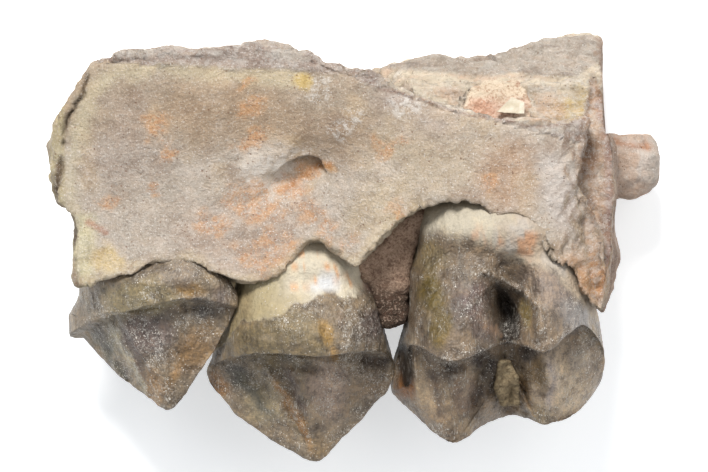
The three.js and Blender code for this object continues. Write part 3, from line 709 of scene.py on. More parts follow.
def roof_coat(coat, p):
    """The outer wall of the face, seen beyond the nose."""
    distance, _, side = line_distance(p, ROOF_EDGE)
    roof = step(p[:, 0], 1.0, 2.2) * (side > 0) * step(distance, 0.0, 0.25) * step(p[:, 2], 3.5, 5.0)
    coat.lay(roof, (180, 170, 158), 0.95)
    lines = fractal(p @ np.array([[0.1, 0.0, 0.0], [-0.12, 1.0, 0.0], [0.0, 0.0, 0.6]]), 0.3, 3, 59)
    coat.lay(roof * step(lines, 0.2, 0.8), (138, 128, 120), 0.65)
    coat.lay(roof * step(-lines, 0.3, 0.9), (214, 206, 196), 0.6)


def end_coat(coat, p, n, fine):
    """The broken end; returns the masks of its face, the wall behind it and its rusty corner."""
    end = soft_inside(p, END_FACE, 0.15, 109)
    coat.lay(end, (206, 178, 156), 0.95)
    coat.lay(end * step(fractal(p * np.array([1.0, 0.5, 1.0]), 0.5, 4, 61), 0.0, 0.5), (214, 198, 180), 0.75)
    coat.lay(end * step(-fractal(p, 0.9, 3, 62), 0.1, 0.7), (138, 106, 86), 0.7)
    coat.lay(end * spot(p, 15.2, 5.6, 2.0, 0.4, 0, 0.3, 110), (146, 108, 82), 0.7)
    coat.lay(end * near(p, END_RIDGE, 0.2 * fine, 0.05, 0.45), (176, 150, 146), 0.7)
    back_wall = step(n[:, 0], 0.3, 0.7) * step(p[:, 0], 12.0, 14.0)
    coat.lay(back_wall, (166, 140, 122), 0.8)
    coat.lay(back_wall * step(fine, 0.0, 0.8), (200, 172, 148), 0.6)
    rusty = spot(p, 15.0, -2.0, 2.1, 0.9, 70, 0.4, 63)
    coat.lay(rusty, (222, 190, 162), 0.8)
    coat.lay(spot(p, 15.6, -2.6, 0.9, 0.7, 60, 0.4, 64), (214, 158, 104), 0.85)
    return end, back_wall, rusty


def stump_coat(coat, p, fine):
    """The stump of the cheekbone; returns its mask."""
    stump = step(p[:, 0], 16.6, 17.2) * step(8.2 - p[:, 2], 0, 0.4)
    coat.lay(stump, (214, 190, 172), 0.95)
    coat.lay(stump * step(fine, 0.1, 0.9), (226, 216, 206), 0.7)
    coat.lay(stump * near(p, STUMP_STRIPE, 0.2 * fine, 0.1, 0.5), (196, 140, 106), 0.9)
    coat.lay(stump * step(p[:, 0], 19.2, 19.7), (192, 186, 178), 0.8)
    return stump


def border_coat(coat, p, up, fine):
    """The left border, the crack beside it and the crack along the palate's back edge."""
    strip = step(-p[:, 0], 16.6, 17.6) * step(2.4 - p[:, 1], 0, 0.6)
    coat.lay(strip, (204, 196, 162), 0.85)
    coat.lay(strip * step(fractal(p * np.array([1, 0.25, 1]), 0.5, 3, 96), 0.1, 0.7), (168, 160, 130), 0.6)
    coat.lay(spot(p, -16.1, -0.9, 1.1, 1.2, -30, 0.5, 97), (206, 182, 130), 0.75)
    coat.lay(near(p, [(-17.5, 1.6), (-16.4, 1.0)], 0.15 * fine, 0.05, 0.3), (170, 120, 96), 0.7)
    outside = step(-p[:, 0], 18.9, 19.3) * up
    coat.lay(outside, (184, 172, 134), 0.75)
    coat.lay(up * near(p, LEFT_CRACK, 0.12 * fine, 0.0, 0.14), (92, 78, 60), 0.9)
    coat.lay(up * spot(p, -19.5, 4.5, 0.5, 3.0, 80, 0.4, 108), (110, 92, 74), 0.8)
    coat.lay(up * near(p, BACK_EDGE, 0.1 * fine, 0.03, 0.2), (140, 106, 90), 0.6)


def foramen_coat(coat, p, up, fine):
    """The foramen, the groove that leads to it and the pale bone beside it, which is partly painted light."""
    distance, place, _ = line_distance(p, PALATE_GROOVE)
    coat.lay(up * (1 - step(distance + 0.2 * fine, 0.1, 0.8)) * place, (176, 138, 104), 0.7)
    # Pale bone beside the foramen: its own pale colour, lightened further as painted light over the groove's
    # shade
    coat.lay(up * spot(p, -6.2, 4.9, 1.7, 1.5, 20, 0.5, 111), (222, 210, 196), 0.75)
    coat.patches(p, [
        (-3.3, 5.5, 0.9, 1.5, 25, 0.25, 98, (172, 146, 118), 0.7),
        (-1.9, 5.3, 0.4, 2.0, -20, 0.3, 99, (186, 140, 84), 0.8),
    ], up)
    coat.lay(up * near(p, FORAMEN_RUST, 0.2 * fine, 0.05, 0.4), (176, 122, 72), 0.75)


def side_coat(coat, p, n, up, fine):
    """The sides, the crumbly margin, the low bone by the teeth and the outer side; returns the first."""
    side_wall = (1 - up) * (p[:, 2] > 2)
    layers = fractal(p * np.array([0.4, 0.4, 1.6]), 0.8, 3, 101)
    coat.lay(side_wall * step(layers, 0.2, 1.0), (152, 132, 112), 0.5)
    pale_edge = step(p[:, 2], 11, 12) * step(6.0 - p[:, 1], 0, 2.0) * step(1 - n[:, 2], 0.12, 0.4)
    coat.lay(pale_edge, (206, 190, 162), 0.5)
    crumbly = up * (p[:, 2] > 11) * near(p, PALATE_MARGIN, 0.4 * fine, 0.25, 0.9)
    coat.lay(crumbly, (204, 188, 158), 0.6)
    coat.lay(crumbly * step(-fractal(p, 0.5, 3, 113), 0.3, 0.8), (140, 112, 86), 0.6)
    low = step(11.2 - p[:, 2], 0, 0.6) * step(3.5 - p[:, 1], 0, 1.0) * step(p[:, 2], 3.0, 5.0) * up
    coat.lay(low, (128, 102, 86), 0.8)
    coat.lay(low * spot(p, -7.0, -3.2, 1.6, 1.3, -30, 0.3, 102), (204, 188, 142), 0.9)
    outer = step(-n[:, 2], 0.1, 0.5) * (p[:, 2] < 9)
    coat.lay(outer, (176, 162, 146), 0.8)
    coat.lay(outer * step(fractal(p * np.array([0.4, 1, 1]), 1.8, 4, 105), 0.1, 1.0), (146, 124, 104), 0.7)
    coat.lay(outer * step(-fractal(p, 2.6, 4, 106), 0.3, 1.1), (196, 172, 154), 0.6)
    return side_wall


def bone_coat(piece):
    """The bone's colours and how rough, rusty and chalky it is, from the palate to the outer side."""
    mesh = piece.data
    p, n = points_of(mesh), normals_of(mesh)
    up = step(n[:, 2], 0.0, 0.5)
    fine = fractal(p, 1.6, 4, 52)
    coat = Coat(len(p), (184, 172, 158))
    upper = palate_coat(coat, p, up, fine)
    band = rim_coat(coat, p, up, fine)
    nose = nose_coat(coat, p, up)
    roof_coat(coat, p)
    end, back_wall, rusty = end_coat(coat, p, n, fine)
    stump = stump_coat(coat, p, fine)
    border_coat(coat, p, up, fine)
    foramen_coat(coat, p, up, fine)
    side_wall = side_coat(coat, p, n, up, fine)
    coat.shade(BONE_TONE)
    rough = 0.35 + 0.65 * np.clip(end + back_wall + stump + rusty + band + nose * 0.8 + side_wall * 0.6, 0, 1)
    pale_corner = spot(p, 13.4, 3.4, 3.4, 0.6, 10, 0.35, 7)
    rough = rough + 0.3 * pale_corner
    rust = np.clip(0.1 + 0.7 * rusty + 0.25 * end + 0.2 * stump + 0.1 * nose, 0, 1)
    for k, (x, y, radius) in enumerate(RUST_SPOTS):
        rust = np.maximum(rust, 0.9 * up * spot(p, x, y, radius, 1.2, 20, 0.6, 70 + k))
    white = 0.8 * up * spot(p, -5.6, 5.3, 1.6, 1.4, 20, 0.6, 112)
    for k, (x, y, radius) in enumerate(WHITE_SPOTS):
        white = np.maximum(white, up * spot(p, x, y, radius, 1.3, 20, 0.5, 92 + k))
    white = np.maximum(white, 0.25 * up * (1 - upper))
    white = np.maximum(white, 0.7 * np.clip(end + band + 0.6 * pale_corner, 0, 1))
    return coat, (("rough", np.clip(rough, 0, 1)), ("rust", rust), ("white", white))


# Teeth

LAID_OVER = math.radians(70)
INNER_SLOPE = 1.45
HEART_DEPTH = 2.6
NECK_SQUARENESS = 0.07
ROOT_TAPER = 0.28
CROWN_ROWS = 84
WALL_ROWS = 76
ROOT_ROWS = 20
SECTORS = 400

FRONT_PREMOLAR = {
    "at": (-13.2, -2.1, 9.6),
    "turn": 24,
    "neck": {"back": 4.8, "tongue": 2.9, "front": 5.3, "outer": 3.0},
    "bulge": 0.6,
    "root_depth": 5.6,
    "heart": (0.2, -0.6),
    "rim": [
        (5.8, -0.5, 1.9), (4.6, 1.3, 2.3), (2.9, 2.3, 2.6), (0.6, 2.7, 2.9), (-2.2, 1.9, 2.9),
        (-4.4, 0.7, 2.5), (-6.8, -1.2, 1.2), (-5.1, -2.2, 3.7), (-3.2, -2.4, 5.8), (-1.2, -2.5, 7.5),
        (0.1, -2.5, 8.3), (1.6, -2.3, 6.9), (3.2, -1.9, 5.2), (4.6, -1.3, 3.6),
    ],
    "ribs": [((0.1, -2.4, 8.1), (-1.6, 0.9, 3.4))],
}
REAR_PREMOLAR = {
    "at": (-3.5, -4.5, 9.5),
    "turn": 0,
    "neck": {"back": 5.2, "tongue": 4.2, "front": 4.7, "outer": 4.4},
    "bulge": 0.8,
    "root_depth": 6.6,
    "heart": (0.0, -1.2),
    "rim": [
        (6.0, -2.0, 2.6), (5.2, 0.7, 2.8), (3.4, 2.9, 3.6), (1.0, 4.0, 4.3), (-2.4, 3.2, 3.8),
        (-4.6, 1.0, 3.3), (-6.3, -2.2, 3.1), (-5.4, -2.9, 4.6), (-3.6, -3.4, 6.3), (-1.3, -3.7, 7.8),
        (1.0, -3.8, 8.8), (2.8, -3.6, 7.1), (4.5, -3.2, 5.4), (5.8, -2.6, 3.9),
    ],
    "ribs": [((1.0, -3.7, 8.6), (-0.4, 0.6, 3.6))],
}
MOLAR = {
    "at": (9.7, -1.9, 11.2),
    "turn": 0,
    "neck": {"back": 5.7, "tongue": 5.2, "front": 6.1, "outer": 5.4},
    "bulge": 0.75,
    "root_depth": 7.0,
    "heart": (-0.1, -1.9),
    "rim": [
        (6.5, -4.2, 5.4), (6.6, -1.6, 4.5), (5.3, 1.6, 4.0), (4.1, 3.4, 5.4), (2.6, 4.2, 6.8),
        (1.3, 2.8, 5.9), (0.2, 0.6, 4.8), (-0.8, 2.2, 5.8), (-2.2, 4.1, 7.1), (-3.6, 4.3, 7.5),
        (-5.2, 3.0, 6.2), (-6.1, 0.8, 5.1), (-6.4, -2.2, 4.9), (-7.35, -5.7, 5.7), (-5.4, -4.4, 8.4),
        (-3.3, -3.4, 10.4), (-1.5, -3.9, 9.2), (0.3, -5.3, 7.9), (1.6, -4.3, 8.4), (2.9, -3.5, 9.1),
        (4.6, -3.9, 8.2), (5.8, -4.5, 6.8),
    ],
    "ribs": [((-3.3, -3.4, 10.2), (-3.0, 1.2, 4.4)), ((2.8, -3.5, 8.9), (2.8, 1.2, 4.0))],
    "hollow": {"x": 0.6, "half_width": 1.1, "depth": 2.2},
}


def closed_curve(points, count):
    """Smooth closed curve through the points."""
    knots = np.array(points)
    t = np.arange(count) / count * len(knots)
    i = np.floor(t).astype(int)
    f = (t - i)[:, None]
    before, here, after, beyond = (knots[(i + k) % len(knots)] for k in (-1, 0, 1, 2))
    return 0.5 * (
        2 * here + (after - before) * f + (2 * before - 5 * here + 4 * after - beyond) * f**2
        + (3 * here - before - 3 * after + beyond) * f**3
    )


def biting_height(x, y, crests):
    height = np.full(x.shape, HEART_DEPTH)
    for cx, cy, cz in crests:
        away = np.hypot(x - cx, y - cy)
        height = np.maximum(height, cz - INNER_SLOPE * (np.sqrt(away**2 + 0.02) - 0.14))
    return height


def upright_tooth(tooth):
    """Rows of points from the middle of the biting surface, over the rim, down the walls and root."""
    rim = closed_curve(tooth["rim"], SECTORS)
    crests = [tuple(c) for c in closed_curve(tooth["rim"], 170)]
    for start, end in tooth["ribs"]:
        for t in np.linspace(0, 1, 12):
            crests.append(tuple(np.array(start) * (1 - t) + np.array(end) * t))
    hx, hy = tooth["heart"]
    angle = np.arctan2(rim[:, 1] - hy, rim[:, 0] - hx)
    c, s = np.cos(angle), np.sin(angle)
    neck = tooth["neck"]
    a = np.where(c > 0, neck["back"], neck["front"])
    b = np.where(s > 0, neck["tongue"], neck["outer"])
    radius = 1 / np.hypot(c / a, s / b) / (1 - NECK_SQUARENESS * np.sin(2 * angle) ** 2)
    nx, ny = radius * c, radius * s
    rows = []
    for row in range(1, CROWN_ROWS + 1):
        t = (row / CROWN_ROWS) ** 0.8
        x = hx + (rim[:, 0] - hx) * t
        y = hy + (rim[:, 1] - hy) * t
        z = rim[:, 2] if row == CROWN_ROWS else biting_height(x, y, crests)
        rows.append(np.stack([x, y, z], 1))
    for row in range(1, WALL_ROWS + 1):
        t = row / WALL_ROWS
        out = tooth["bulge"] * s**2 * math.sin(math.pi * t**0.8)
        x = rim[:, 0] + (nx - rim[:, 0]) * t**1.2 + out * c
        y = rim[:, 1] + (ny - rim[:, 1]) * t**1.2 + out * s
        z = rim[:, 2] * (1 - t)
        if "hollow" in tooth:
            hollow = tooth["hollow"]
            across = (x - hollow["x"]) / hollow["half_width"]
            y = y - (y > 0) * hollow["depth"] * np.exp(-(across**2)) * math.sin(math.pi * t) ** 2
        rows.append(np.stack([x, y, z], 1))
    for row in range(1, ROOT_ROWS):
        t = row / ROOT_ROWS
        shrink = (1 - ROOT_TAPER * t) * math.sqrt(1 - max(0, (t - 0.6) / 0.4) ** 2)
        z = np.full(SECTORS, -tooth["root_depth"] * min(1, t * 1.5))
        rows.append(np.stack([nx * shrink, ny * shrink, z], 1))
    first = np.array([[hx, hy, float(biting_height(np.array([hx]), np.array([hy]), crests)[0])]])
    last = np.array([[0, 0, -tooth["root_depth"]]])
    return np.concatenate([first, *rows, last]), len(rows)


def laid_over(points, tooth):
    """Points of an upright tooth, turned and tipped over into its place in the jaw."""
    turn = math.radians(tooth["turn"])
    x = points[:, 0] * math.cos(turn) - points[:, 1] * math.sin(turn)
    y = points[:, 0] * math.sin(turn) + points[:, 1] * math.cos(turn)
    z = points[:, 2]
    c, s = math.cos(LAID_OVER), math.sin(LAID_OVER)
    return np.stack([x, y * c - z * s, y * s + z * c], 1) + np.array(tooth["at"]) + SHIFT


def tooth_piece(name, tooth):
    """The tooth as one closed mesh of even rows from the heart of its crown to the root's end."""
    upright, rows = upright_tooth(tooth)
    last = len(upright) - 1
    faces = []
    for k in range(SECTORS):
        faces.append((0, 1 + k, 1 + (k + 1) % SECTORS))
        base = 1 + (rows - 1) * SECTORS
        faces.append((last, base + (k + 1) % SECTORS, base + k))
    for row in range(rows - 1):
        top, low = 1 + row * SECTORS, 1 + (row + 1) * SECTORS
        for k in range(SECTORS):
            m = (k + 1) % SECTORS
            faces.append((top + k, low + k, low + m, top + m))
    mesh = bpy.data.meshes.new(name)
    mesh.from_pydata((laid_over(upright, tooth) * MM).tolist(), [], faces)
    mesh.update()
    piece = bpy.data.objects.new(name, mesh)
    bpy.context.scene.collection.objects.link(piece)
    set_points(mesh, relaxed(mesh, 3))
    return piece


def carved(piece, features, seed, swollen):
    """Cuts grooves and raises ridges, all placed from above, on an uneven worn surface.

    The root swells up by the first number of swollen between the other four, which are Y.
    """
    mesh = piece.data
    p, n = points_of(mesh), normals_of(mesh)
    up = step(n[:, 2], 0.0, 0.35)
    wander = p + 0.1 * np.stack([noise(p, 0.6, seed + k) for k in (11, 12, 13)], 1)
    depth = np.zeros(len(p))
    for line, width, height, *edge in features:
        power = edge[0] if edge else 2
        distance, place, _ = line_distance(wander, line)
        ends = np.clip(np.minimum(place, 1 - place) / 0.15, 0.1, 1)
        depth += up * height * ends * np.exp(-((distance / width) ** power))
    move = 0.07 * fractal(p, 1.3, 4, seed) + 0.035 * fractal(p, 0.42, 3, seed + 5)
    move += 0.04 * up * terraced(fractal(p * np.array([1, 0.3, 1]), 0.5, 2, seed + 7), 2)
    p = p + n * move[:, None]
    height, rise_start, rise_end, fall_start, fall_end = swollen
    swelling = height * step(p[:, 1], rise_start, rise_end) * (1 - step(p[:, 1], fall_start, fall_end))
    p[:, 2] += depth + up * swelling
    set_points(mesh, p)


def chalked(p, lines, spots, seed):
    """Where chalky white specks cling: along the lines and in the spots, seen from above."""
    mask = np.zeros(len(p))
    for line, width, strength in lines:
        distance, _, _ = line_distance(p, line)
        mask = np.maximum(mask, strength * np.exp(-((distance / width) ** 2)))
    for k, (x, y, radius, strength) in enumerate(spots):
        mask = np.maximum(mask, strength * spot(p, x, y, radius, 1.2, 30, 0.5, seed + k))
    return np.clip(mask + 0.4 * step(noise(p, 1.4, seed + 40), -0.2, 0.6), 0, 1)


def enamel_border(p, line, soft):
    """1 on the root and 0 on the enamel: the border's Y follows the line from above."""
    xs = [q[0] for q in line]
    ys = [q[1] for q in line]
    border = np.interp(p[:, 0], xs, ys) + 0.3 * fractal(p, 0.8, 4, 5)
    return step(p[:, 1] - border, -soft, soft)


def settle_tooth(piece, node, coat, root, fine, wear, chalk):
    """The tooth's finish, with less wear and chalk on the root than on the enamel."""
    wear = np.clip(wear + 0.4 * fine, 0.2, 1) * (1 - 0.6 * root)
    chalk = chalk * (1 - 0.7 * root)
    settle(piece, node, ENAMEL, coat, (("root", root), ("wear", wear), ("chalk", chalk)))


MOLAR_ENAMEL = [
    (2.6, -0.7), (3.6, 0.55), (4.5, 0.75), (6.4, 0.7), (7.7, 0.5), (8.6, 0.3), (9.7, -0.6), (11.4, -0.85),
    (12.6, -1.2), (13.6, -2.2), (14.7, -3.4), (15.8, -4.8),
]
REAR_ENAMEL = [
    (-9.2, -6.8), (-8.4, -6.0), (-7.5, -4.8), (-6.1, -4.8), (-5.0, -4.5), (-3.9, -3.85), (-2.6, -3.3),
    (-1.7, -3.0), (-0.7, -3.2), (0.4, -3.1), (2.6, -3.2),
]
FRONT_ENAMEL = [(-19.0, -2.4), (-17.4, -2.4), (-16.0, -1.6), (-14.0, -0.6), (-7.0, 0.6)]

MOLAR_CREST = [
    (2.7, -6.3), (3.6, -6.3), (4.5, -6.7), (5.6, -7.4), (6.5, -7.7), (7.3, -7.5), (8.2, -6.9), (8.8, -6.5),
    (9.7, -6.2), (10.8, -6.3), (11.9, -6.7), (12.6, -6.3), (13.5, -5.8), (14.4, -5.2), (15.0, -5.4),
    (16.2, -6.5),
]
MOLAR_INNER_RIM = [
    (8.0, -1.4), (8.6, -1.7), (9.7, -2.2), (11.1, -3.0), (11.9, -4.0), (12.1, -5.3), (11.9, -6.5),
]
REAR_CREST = [
    (-8.5, -7.8), (-7.6, -7.4), (-6.5, -7.0), (-5.1, -7.2), (-4.1, -7.35), (-3.1, -7.3), (-2.3, -7.6),
    (-1.3, -7.6), (-0.9, -8.1), (0.1, -7.4), (0.5, -6.8), (1.6, -6.7), (2.5, -6.9),
]
REAR_RIDGE = [(-0.1, -4.8), (-0.3, -6.2), (-0.7, -7.6)]
REAR_BANDS = [
    ([(-7.0, -7.4), (-5.6, -9.2), (-4.4, -10.8), (-3.2, -13.4)], 0.3, (150, 138, 116)),
    ([(-5.6, -8.2), (-4.6, -10.0), (-3.4, -12.0), (-2.6, -13.6)], 0.28, (146, 104, 54)),
    ([(-4.6, -7.4), (-4.0, -9.4), (-3.2, -11.4)], 0.3, (84, 68, 60)),
    ([(-8.2, -7.9), (-6.8, -9.4), (-5.2, -11.6)], 0.4, (88, 86, 76)),
]
REAR_ROOT_RUST = [
    ([(-4.4, -0.6), (-3.6, -0.4), (-2.6, -0.4)], 0.2),
    ([(-4.0, -2.4), (-3.0, -2.5), (-2.6, -2.2)], 0.2),
    ([(-2.0, -0.6), (-1.6, -1.2), (-1.2, -2.0)], 0.25),
    ([(-0.6, -2.0), (-0.2, -2.8)], 0.25),
    ([(-4.2, -1.2), (-3.6, -1.6)], 0.2),
]
FRONT_BANDS = [
    ([(-17.6, -5.2), (-16.2, -7.0), (-14.6, -9.4)], 0.3, (86, 82, 70)),
    ([(-16.2, -4.6), (-15.4, -6.4), (-14.2, -8.8), (-13.6, -10.2)], 0.22, (150, 142, 122)),
    ([(-15.4, -5.0), (-14.6, -7.0), (-13.8, -9.0)], 0.3, (84, 72, 66)),
    ([(-10.2, -5.2), (-11.4, -7.6), (-12.6, -9.8)], 0.35, (124, 98, 66)),
]
MOLAR_BANDS = [
    ([(4.1, -7.2), (4.3, -9.2), (4.6, -11.4)], 0.28, (150, 132, 108)),
    ([(5.0, -7.8), (5.4, -9.6), (5.9, -11.6)], 0.3, (92, 76, 64)),
    ([(8.9, -7.2), (8.6, -8.6), (8.0, -10.2)], 0.5, (62, 52, 46)),
    ([(10.6, -7.6), (11.2, -9.4), (11.8, -11.2)], 0.3, (96, 76, 50)),
    ([(12.9, -6.9), (12.9, -9.0), (12.7, -11.0)], 0.26, (176, 164, 158)),
]

FRONT_CREST = [
    (-18.2, -5.1), (-17.2, -4.5), (-16.3, -4.3), (-15.4, -4.2), (-14.3, -4.5), (-13.5, -4.2), (-12.4, -3.8),
    (-11.5, -3.4), (-10.0, -3.3),
]

FRONT_FACET = [(-16.3, -4.4), (-15.7, -5.6), (-14.9, -6.9), (-14.3, -8.2), (-13.6, -9.6)]

# Outlines of painted shade: near-black in the molar's hollow and in the gap beside its left cusp
MOLAR_HOLLOW_SHADE = [
    (9.1, -2.2), (9.9, -2.7), (10.5, -3.5), (10.85, -4.6), (10.8, -6.0), (10.0, -6.4), (9.4, -6.1),
    (9.75, -5.0), (9.3, -3.8),
]
MOLAR_LEFT_GAP_SHADE = [(2.7, -6.4), (3.2, -6.3), (3.75, -6.7), (3.85, -7.8), (3.7, -9.1), (3.2, -9.3), (2.8, -8.4)]


def molar_piece():
    piece = tooth_piece("molar_tooth", MOLAR)
    carved(piece, [
        (MOLAR_INNER_RIM, 0.26, 0.5),
        ([(8.6, -2.7), (9.3, -3.5), (9.8, -4.6), (9.8, -5.9)], 0.6, -1.2, 4),
        ([(10.6, -3.3), (11.1, -4.3), (11.1, -5.6)], 0.4, -0.2),
        ([(6.5, 0.8), (6.3, -0.4), (6.4, -1.6), (6.5, -2.7)], 0.09, -0.14),
        ([(2.6, -2.0), (3.2, -3.6), (3.3, -5.6)], 0.6, -0.4),
        ([(4.4, -1.2), (4.8, -4.0), (5.6, -7.0)], 0.6, 0.3),
        ([(3.2, -6.4), (3.2, -7.8), (3.0, -9.2)], 0.42, -0.9),
        ([(3.9, -6.7), (4.0, -8.5), (4.3, -11.1)], 0.2, 0.34),
        ([(4.8, -8.0), (5.0, -10.0), (5.6, -12.0)], 0.3, 0.12),
        ([(8.8, -6.9), (8.6, -8.0), (8.0, -9.4), (7.6, -10.8)], 0.45, -0.6),
        ([(9.5, -6.6), (10.3, -8.1), (11.1, -9.7), (11.9, -11.0)], 0.14, -0.3),
        ([(11.6, -6.9), (12.0, -8.4), (12.6, -10.0)], 0.4, -0.45),
        ([(13.1, -7.2), (13.1, -10.0)], 0.3, 0.32),
        ([(14.5, -5.6), (15.0, -7.0), (15.2, -9.0)], 0.25, 0.14),
        ([(12.9, -1.6), (13.9, -2.6), (14.6, -3.4)], 0.1, -0.14),
        (MOLAR_CREST, 0.16, 0.1),
        ([(5.6, -7.6), (6.5, -8.0), (7.3, -7.8)], 0.3, -0.22),
    ], 201, (1.6, -0.8, 1.4, 2.4, 3.4))
    p = points_of(piece.data)
    root = enamel_border(p, MOLAR_ENAMEL, 0.5)
    coat = Coat(len(p), (118, 102, 84))
    fine = fractal(p, 1.2, 4, 211)
    coat.patches(p, [
        (4.9, -2.8, 2.0, 0.55, 8, 0.3, 212, (102, 86, 38), 0.95),
        (5.6, -5.4, 1.7, 0.55, -12, 0.3, 240, (106, 88, 42), 0.95),
        (4.6, -0.6, 1.3, 1.4, 0, 0.3, 213, (126, 112, 80), 0.7),
        (7.6, -3.4, 1.9, 0.7, 10, 0.3, 214, (112, 95, 92), 0.9),
        (6.6, -3.6, 2.2, 0.2, 4, 0.3, 268, (92, 78, 70), 0.7),
        (8.4, -5.2, 1.3, 0.7, 30, 0.3, 239, (112, 96, 88), 0.8),
        (12.8, -2.8, 2.0, 1.4, -35, 0.3, 215, (126, 113, 104), 0.8),
        (14.4, -4.4, 1.2, 1.3, -40, 0.3, 216, (134, 128, 124), 0.75),
        # painted shade in the groove along the molar's left edge
        (2.9, -3.8, 2.2, 0.42, -4, 0.25, 218, (62, 58, 50), 0.95),
        (6.9, -1.2, 1.2, 0.3, 5, 0.4, 265, (84, 74, 62), 0.6),
        (5.4, -10.0, 1.8, 0.9, 10, 0.3, 219, (182, 158, 128), 0.85),
        (7.2, -9.8, 1.4, 0.7, 0, 0.3, 238, (124, 104, 88), 0.85),
        (13.4, -9.0, 2.2, 1.0, 0, 0.3, 220, (196, 176, 150), 0.85),
        (14.8, -7.6, 1.0, 1.0, 0, 0.3, 237, (156, 144, 130), 0.7),
        (11.9, -8.4, 1.1, 0.7, 15, 0.3, 221, (128, 106, 74), 0.8),
        (12.2, -11.0, 0.8, 1.0, 0, 0.3, 236, (130, 116, 90), 0.6),
        # painted shadow: the next two dark spots sit under the crest
        (8.4, -7.6, 1.1, 1.0, 0, 0.3, 222, (58, 50, 48), 0.85),
        (11.3, -7.0, 0.7, 1.2, 0, 0.3, 235, (66, 56, 48), 0.8),
        (3.3, -9.2, 1.0, 0.7, 20, 0.3, 223, (124, 80, 38), 0.9),
    ])
    # Painted shade: near-black in the gap left of the cusp and in the hollow, with a darker spot round the
    # hollow
    coat.lay(soft_inside(p, MOLAR_LEFT_GAP_SHADE, 0.12, 263), (30, 24, 20), 0.95)
    coat.lay(spot(p, 9.7, -4.3, 1.7, 0.75, 12, 0.3, 225), (78, 66, 54), 0.7)
    coat.lay(soft_inside(p, MOLAR_HOLLOW_SHADE, 0.12, 262), (32, 25, 19), 0.95)
    coat.patches(p, [
        (11.15, -4.3, 1.1, 0.42, 8, 0.25, 217, (138, 120, 76), 0.9),
        (9.0, -5.4, 0.45, 1.4, -30, 0.4, 234, (166, 138, 116), 0.8),
        # painted shadow under the crest
        (6.5, -7.9, 0.5, 1.3, 0, 0.4, 233, (70, 60, 52), 0.8),
    ])
    coat.bands(p, MOLAR_BANDS, 270)
    coat.lay(step(fine, 0.2, 1.1), (158, 144, 124), 0.45)
    coat.lay(step(-fine, 0.2, 1.1), (80, 70, 60), 0.45)
    coat.lay(root, (172, 163, 145), 1.0)
    mottle = step(fractal(p, 0.6, 4, 266), -0.3, 0.4)
    coat.lay(root * step(p[:, 0] + 1.2 * fine, 8.8, 12.0), (160, 143, 124), 0.9)
    coat.lay(root * mottle * spot(p, 8.6, 0.6, 0.9, 1.3, -20, 0.6, 226), (184, 132, 98), 0.7)
    coat.lay(root * mottle * spot(p, 11.2, 0.3, 1.3, 0.8, 60, 0.6, 227), (184, 134, 98), 0.75)
    coat.lay(root * (1 - mottle) * spot(p, 9.8, 0.8, 1.3, 1.4, 20, 0.6, 228), (168, 162, 156), 0.6)
    coat.lay(root * spot(p, 13.0, -1.0, 0.8, 1.4, -50, 0.4, 229), (172, 166, 158), 0.7)
    left_edge = step(0.35 * (p[:, 0] - 3.2) + 0.2 * fine, 0.5, 0.0)
    coat.lay(left_edge * step(p[:, 1], -3.0, -1.0), (140, 120, 100), 0.6)
    wall = step(p[:, 1], -6.6, -5.8) * (1 - root)
    coat.shade(1 - 0.3 * wall * spot(p, 5.6, -3.4, 4.0, 0.8, 0, 0.2, 264))
    chalk = chalked(p, [
        (MOLAR_INNER_RIM, 0.35, 0.9), (MOLAR_CREST, 0.16, 0.55),
        ([(3.0, -0.4), (4.2, 0.6), (6.2, 0.8)], 0.2, 0.8),
        ([(6.4, -1.0), (6.5, -2.7)], 0.12, 1.0), ([(8.0, -1.8), (7.6, -4.0)], 0.5, 0.6),
    ], [
        (3.4, -1.9, 0.5, 1.0), (4.3, -2.0, 0.3, 1.0), (8.2, -3.0, 0.9, 0.8), (5.9, -7.8, 0.9, 0.8),
        (5.4, -12.2, 0.6, 1.0), (14.0, -3.9, 0.7, 0.9), (10.4, -5.2, 0.9, 0.7), (6.8, -8.8, 0.9, 0.7),
        (14.9, -6.6, 0.9, 0.7), (2.9, -3.0, 0.8, 0.6), (7.2, -6.8, 0.7, 0.7), (12.0, -8.6, 0.8, 0.5),
    ], 501)
    settle_tooth(piece, "molar", coat, root, fine, 0.7, chalk)


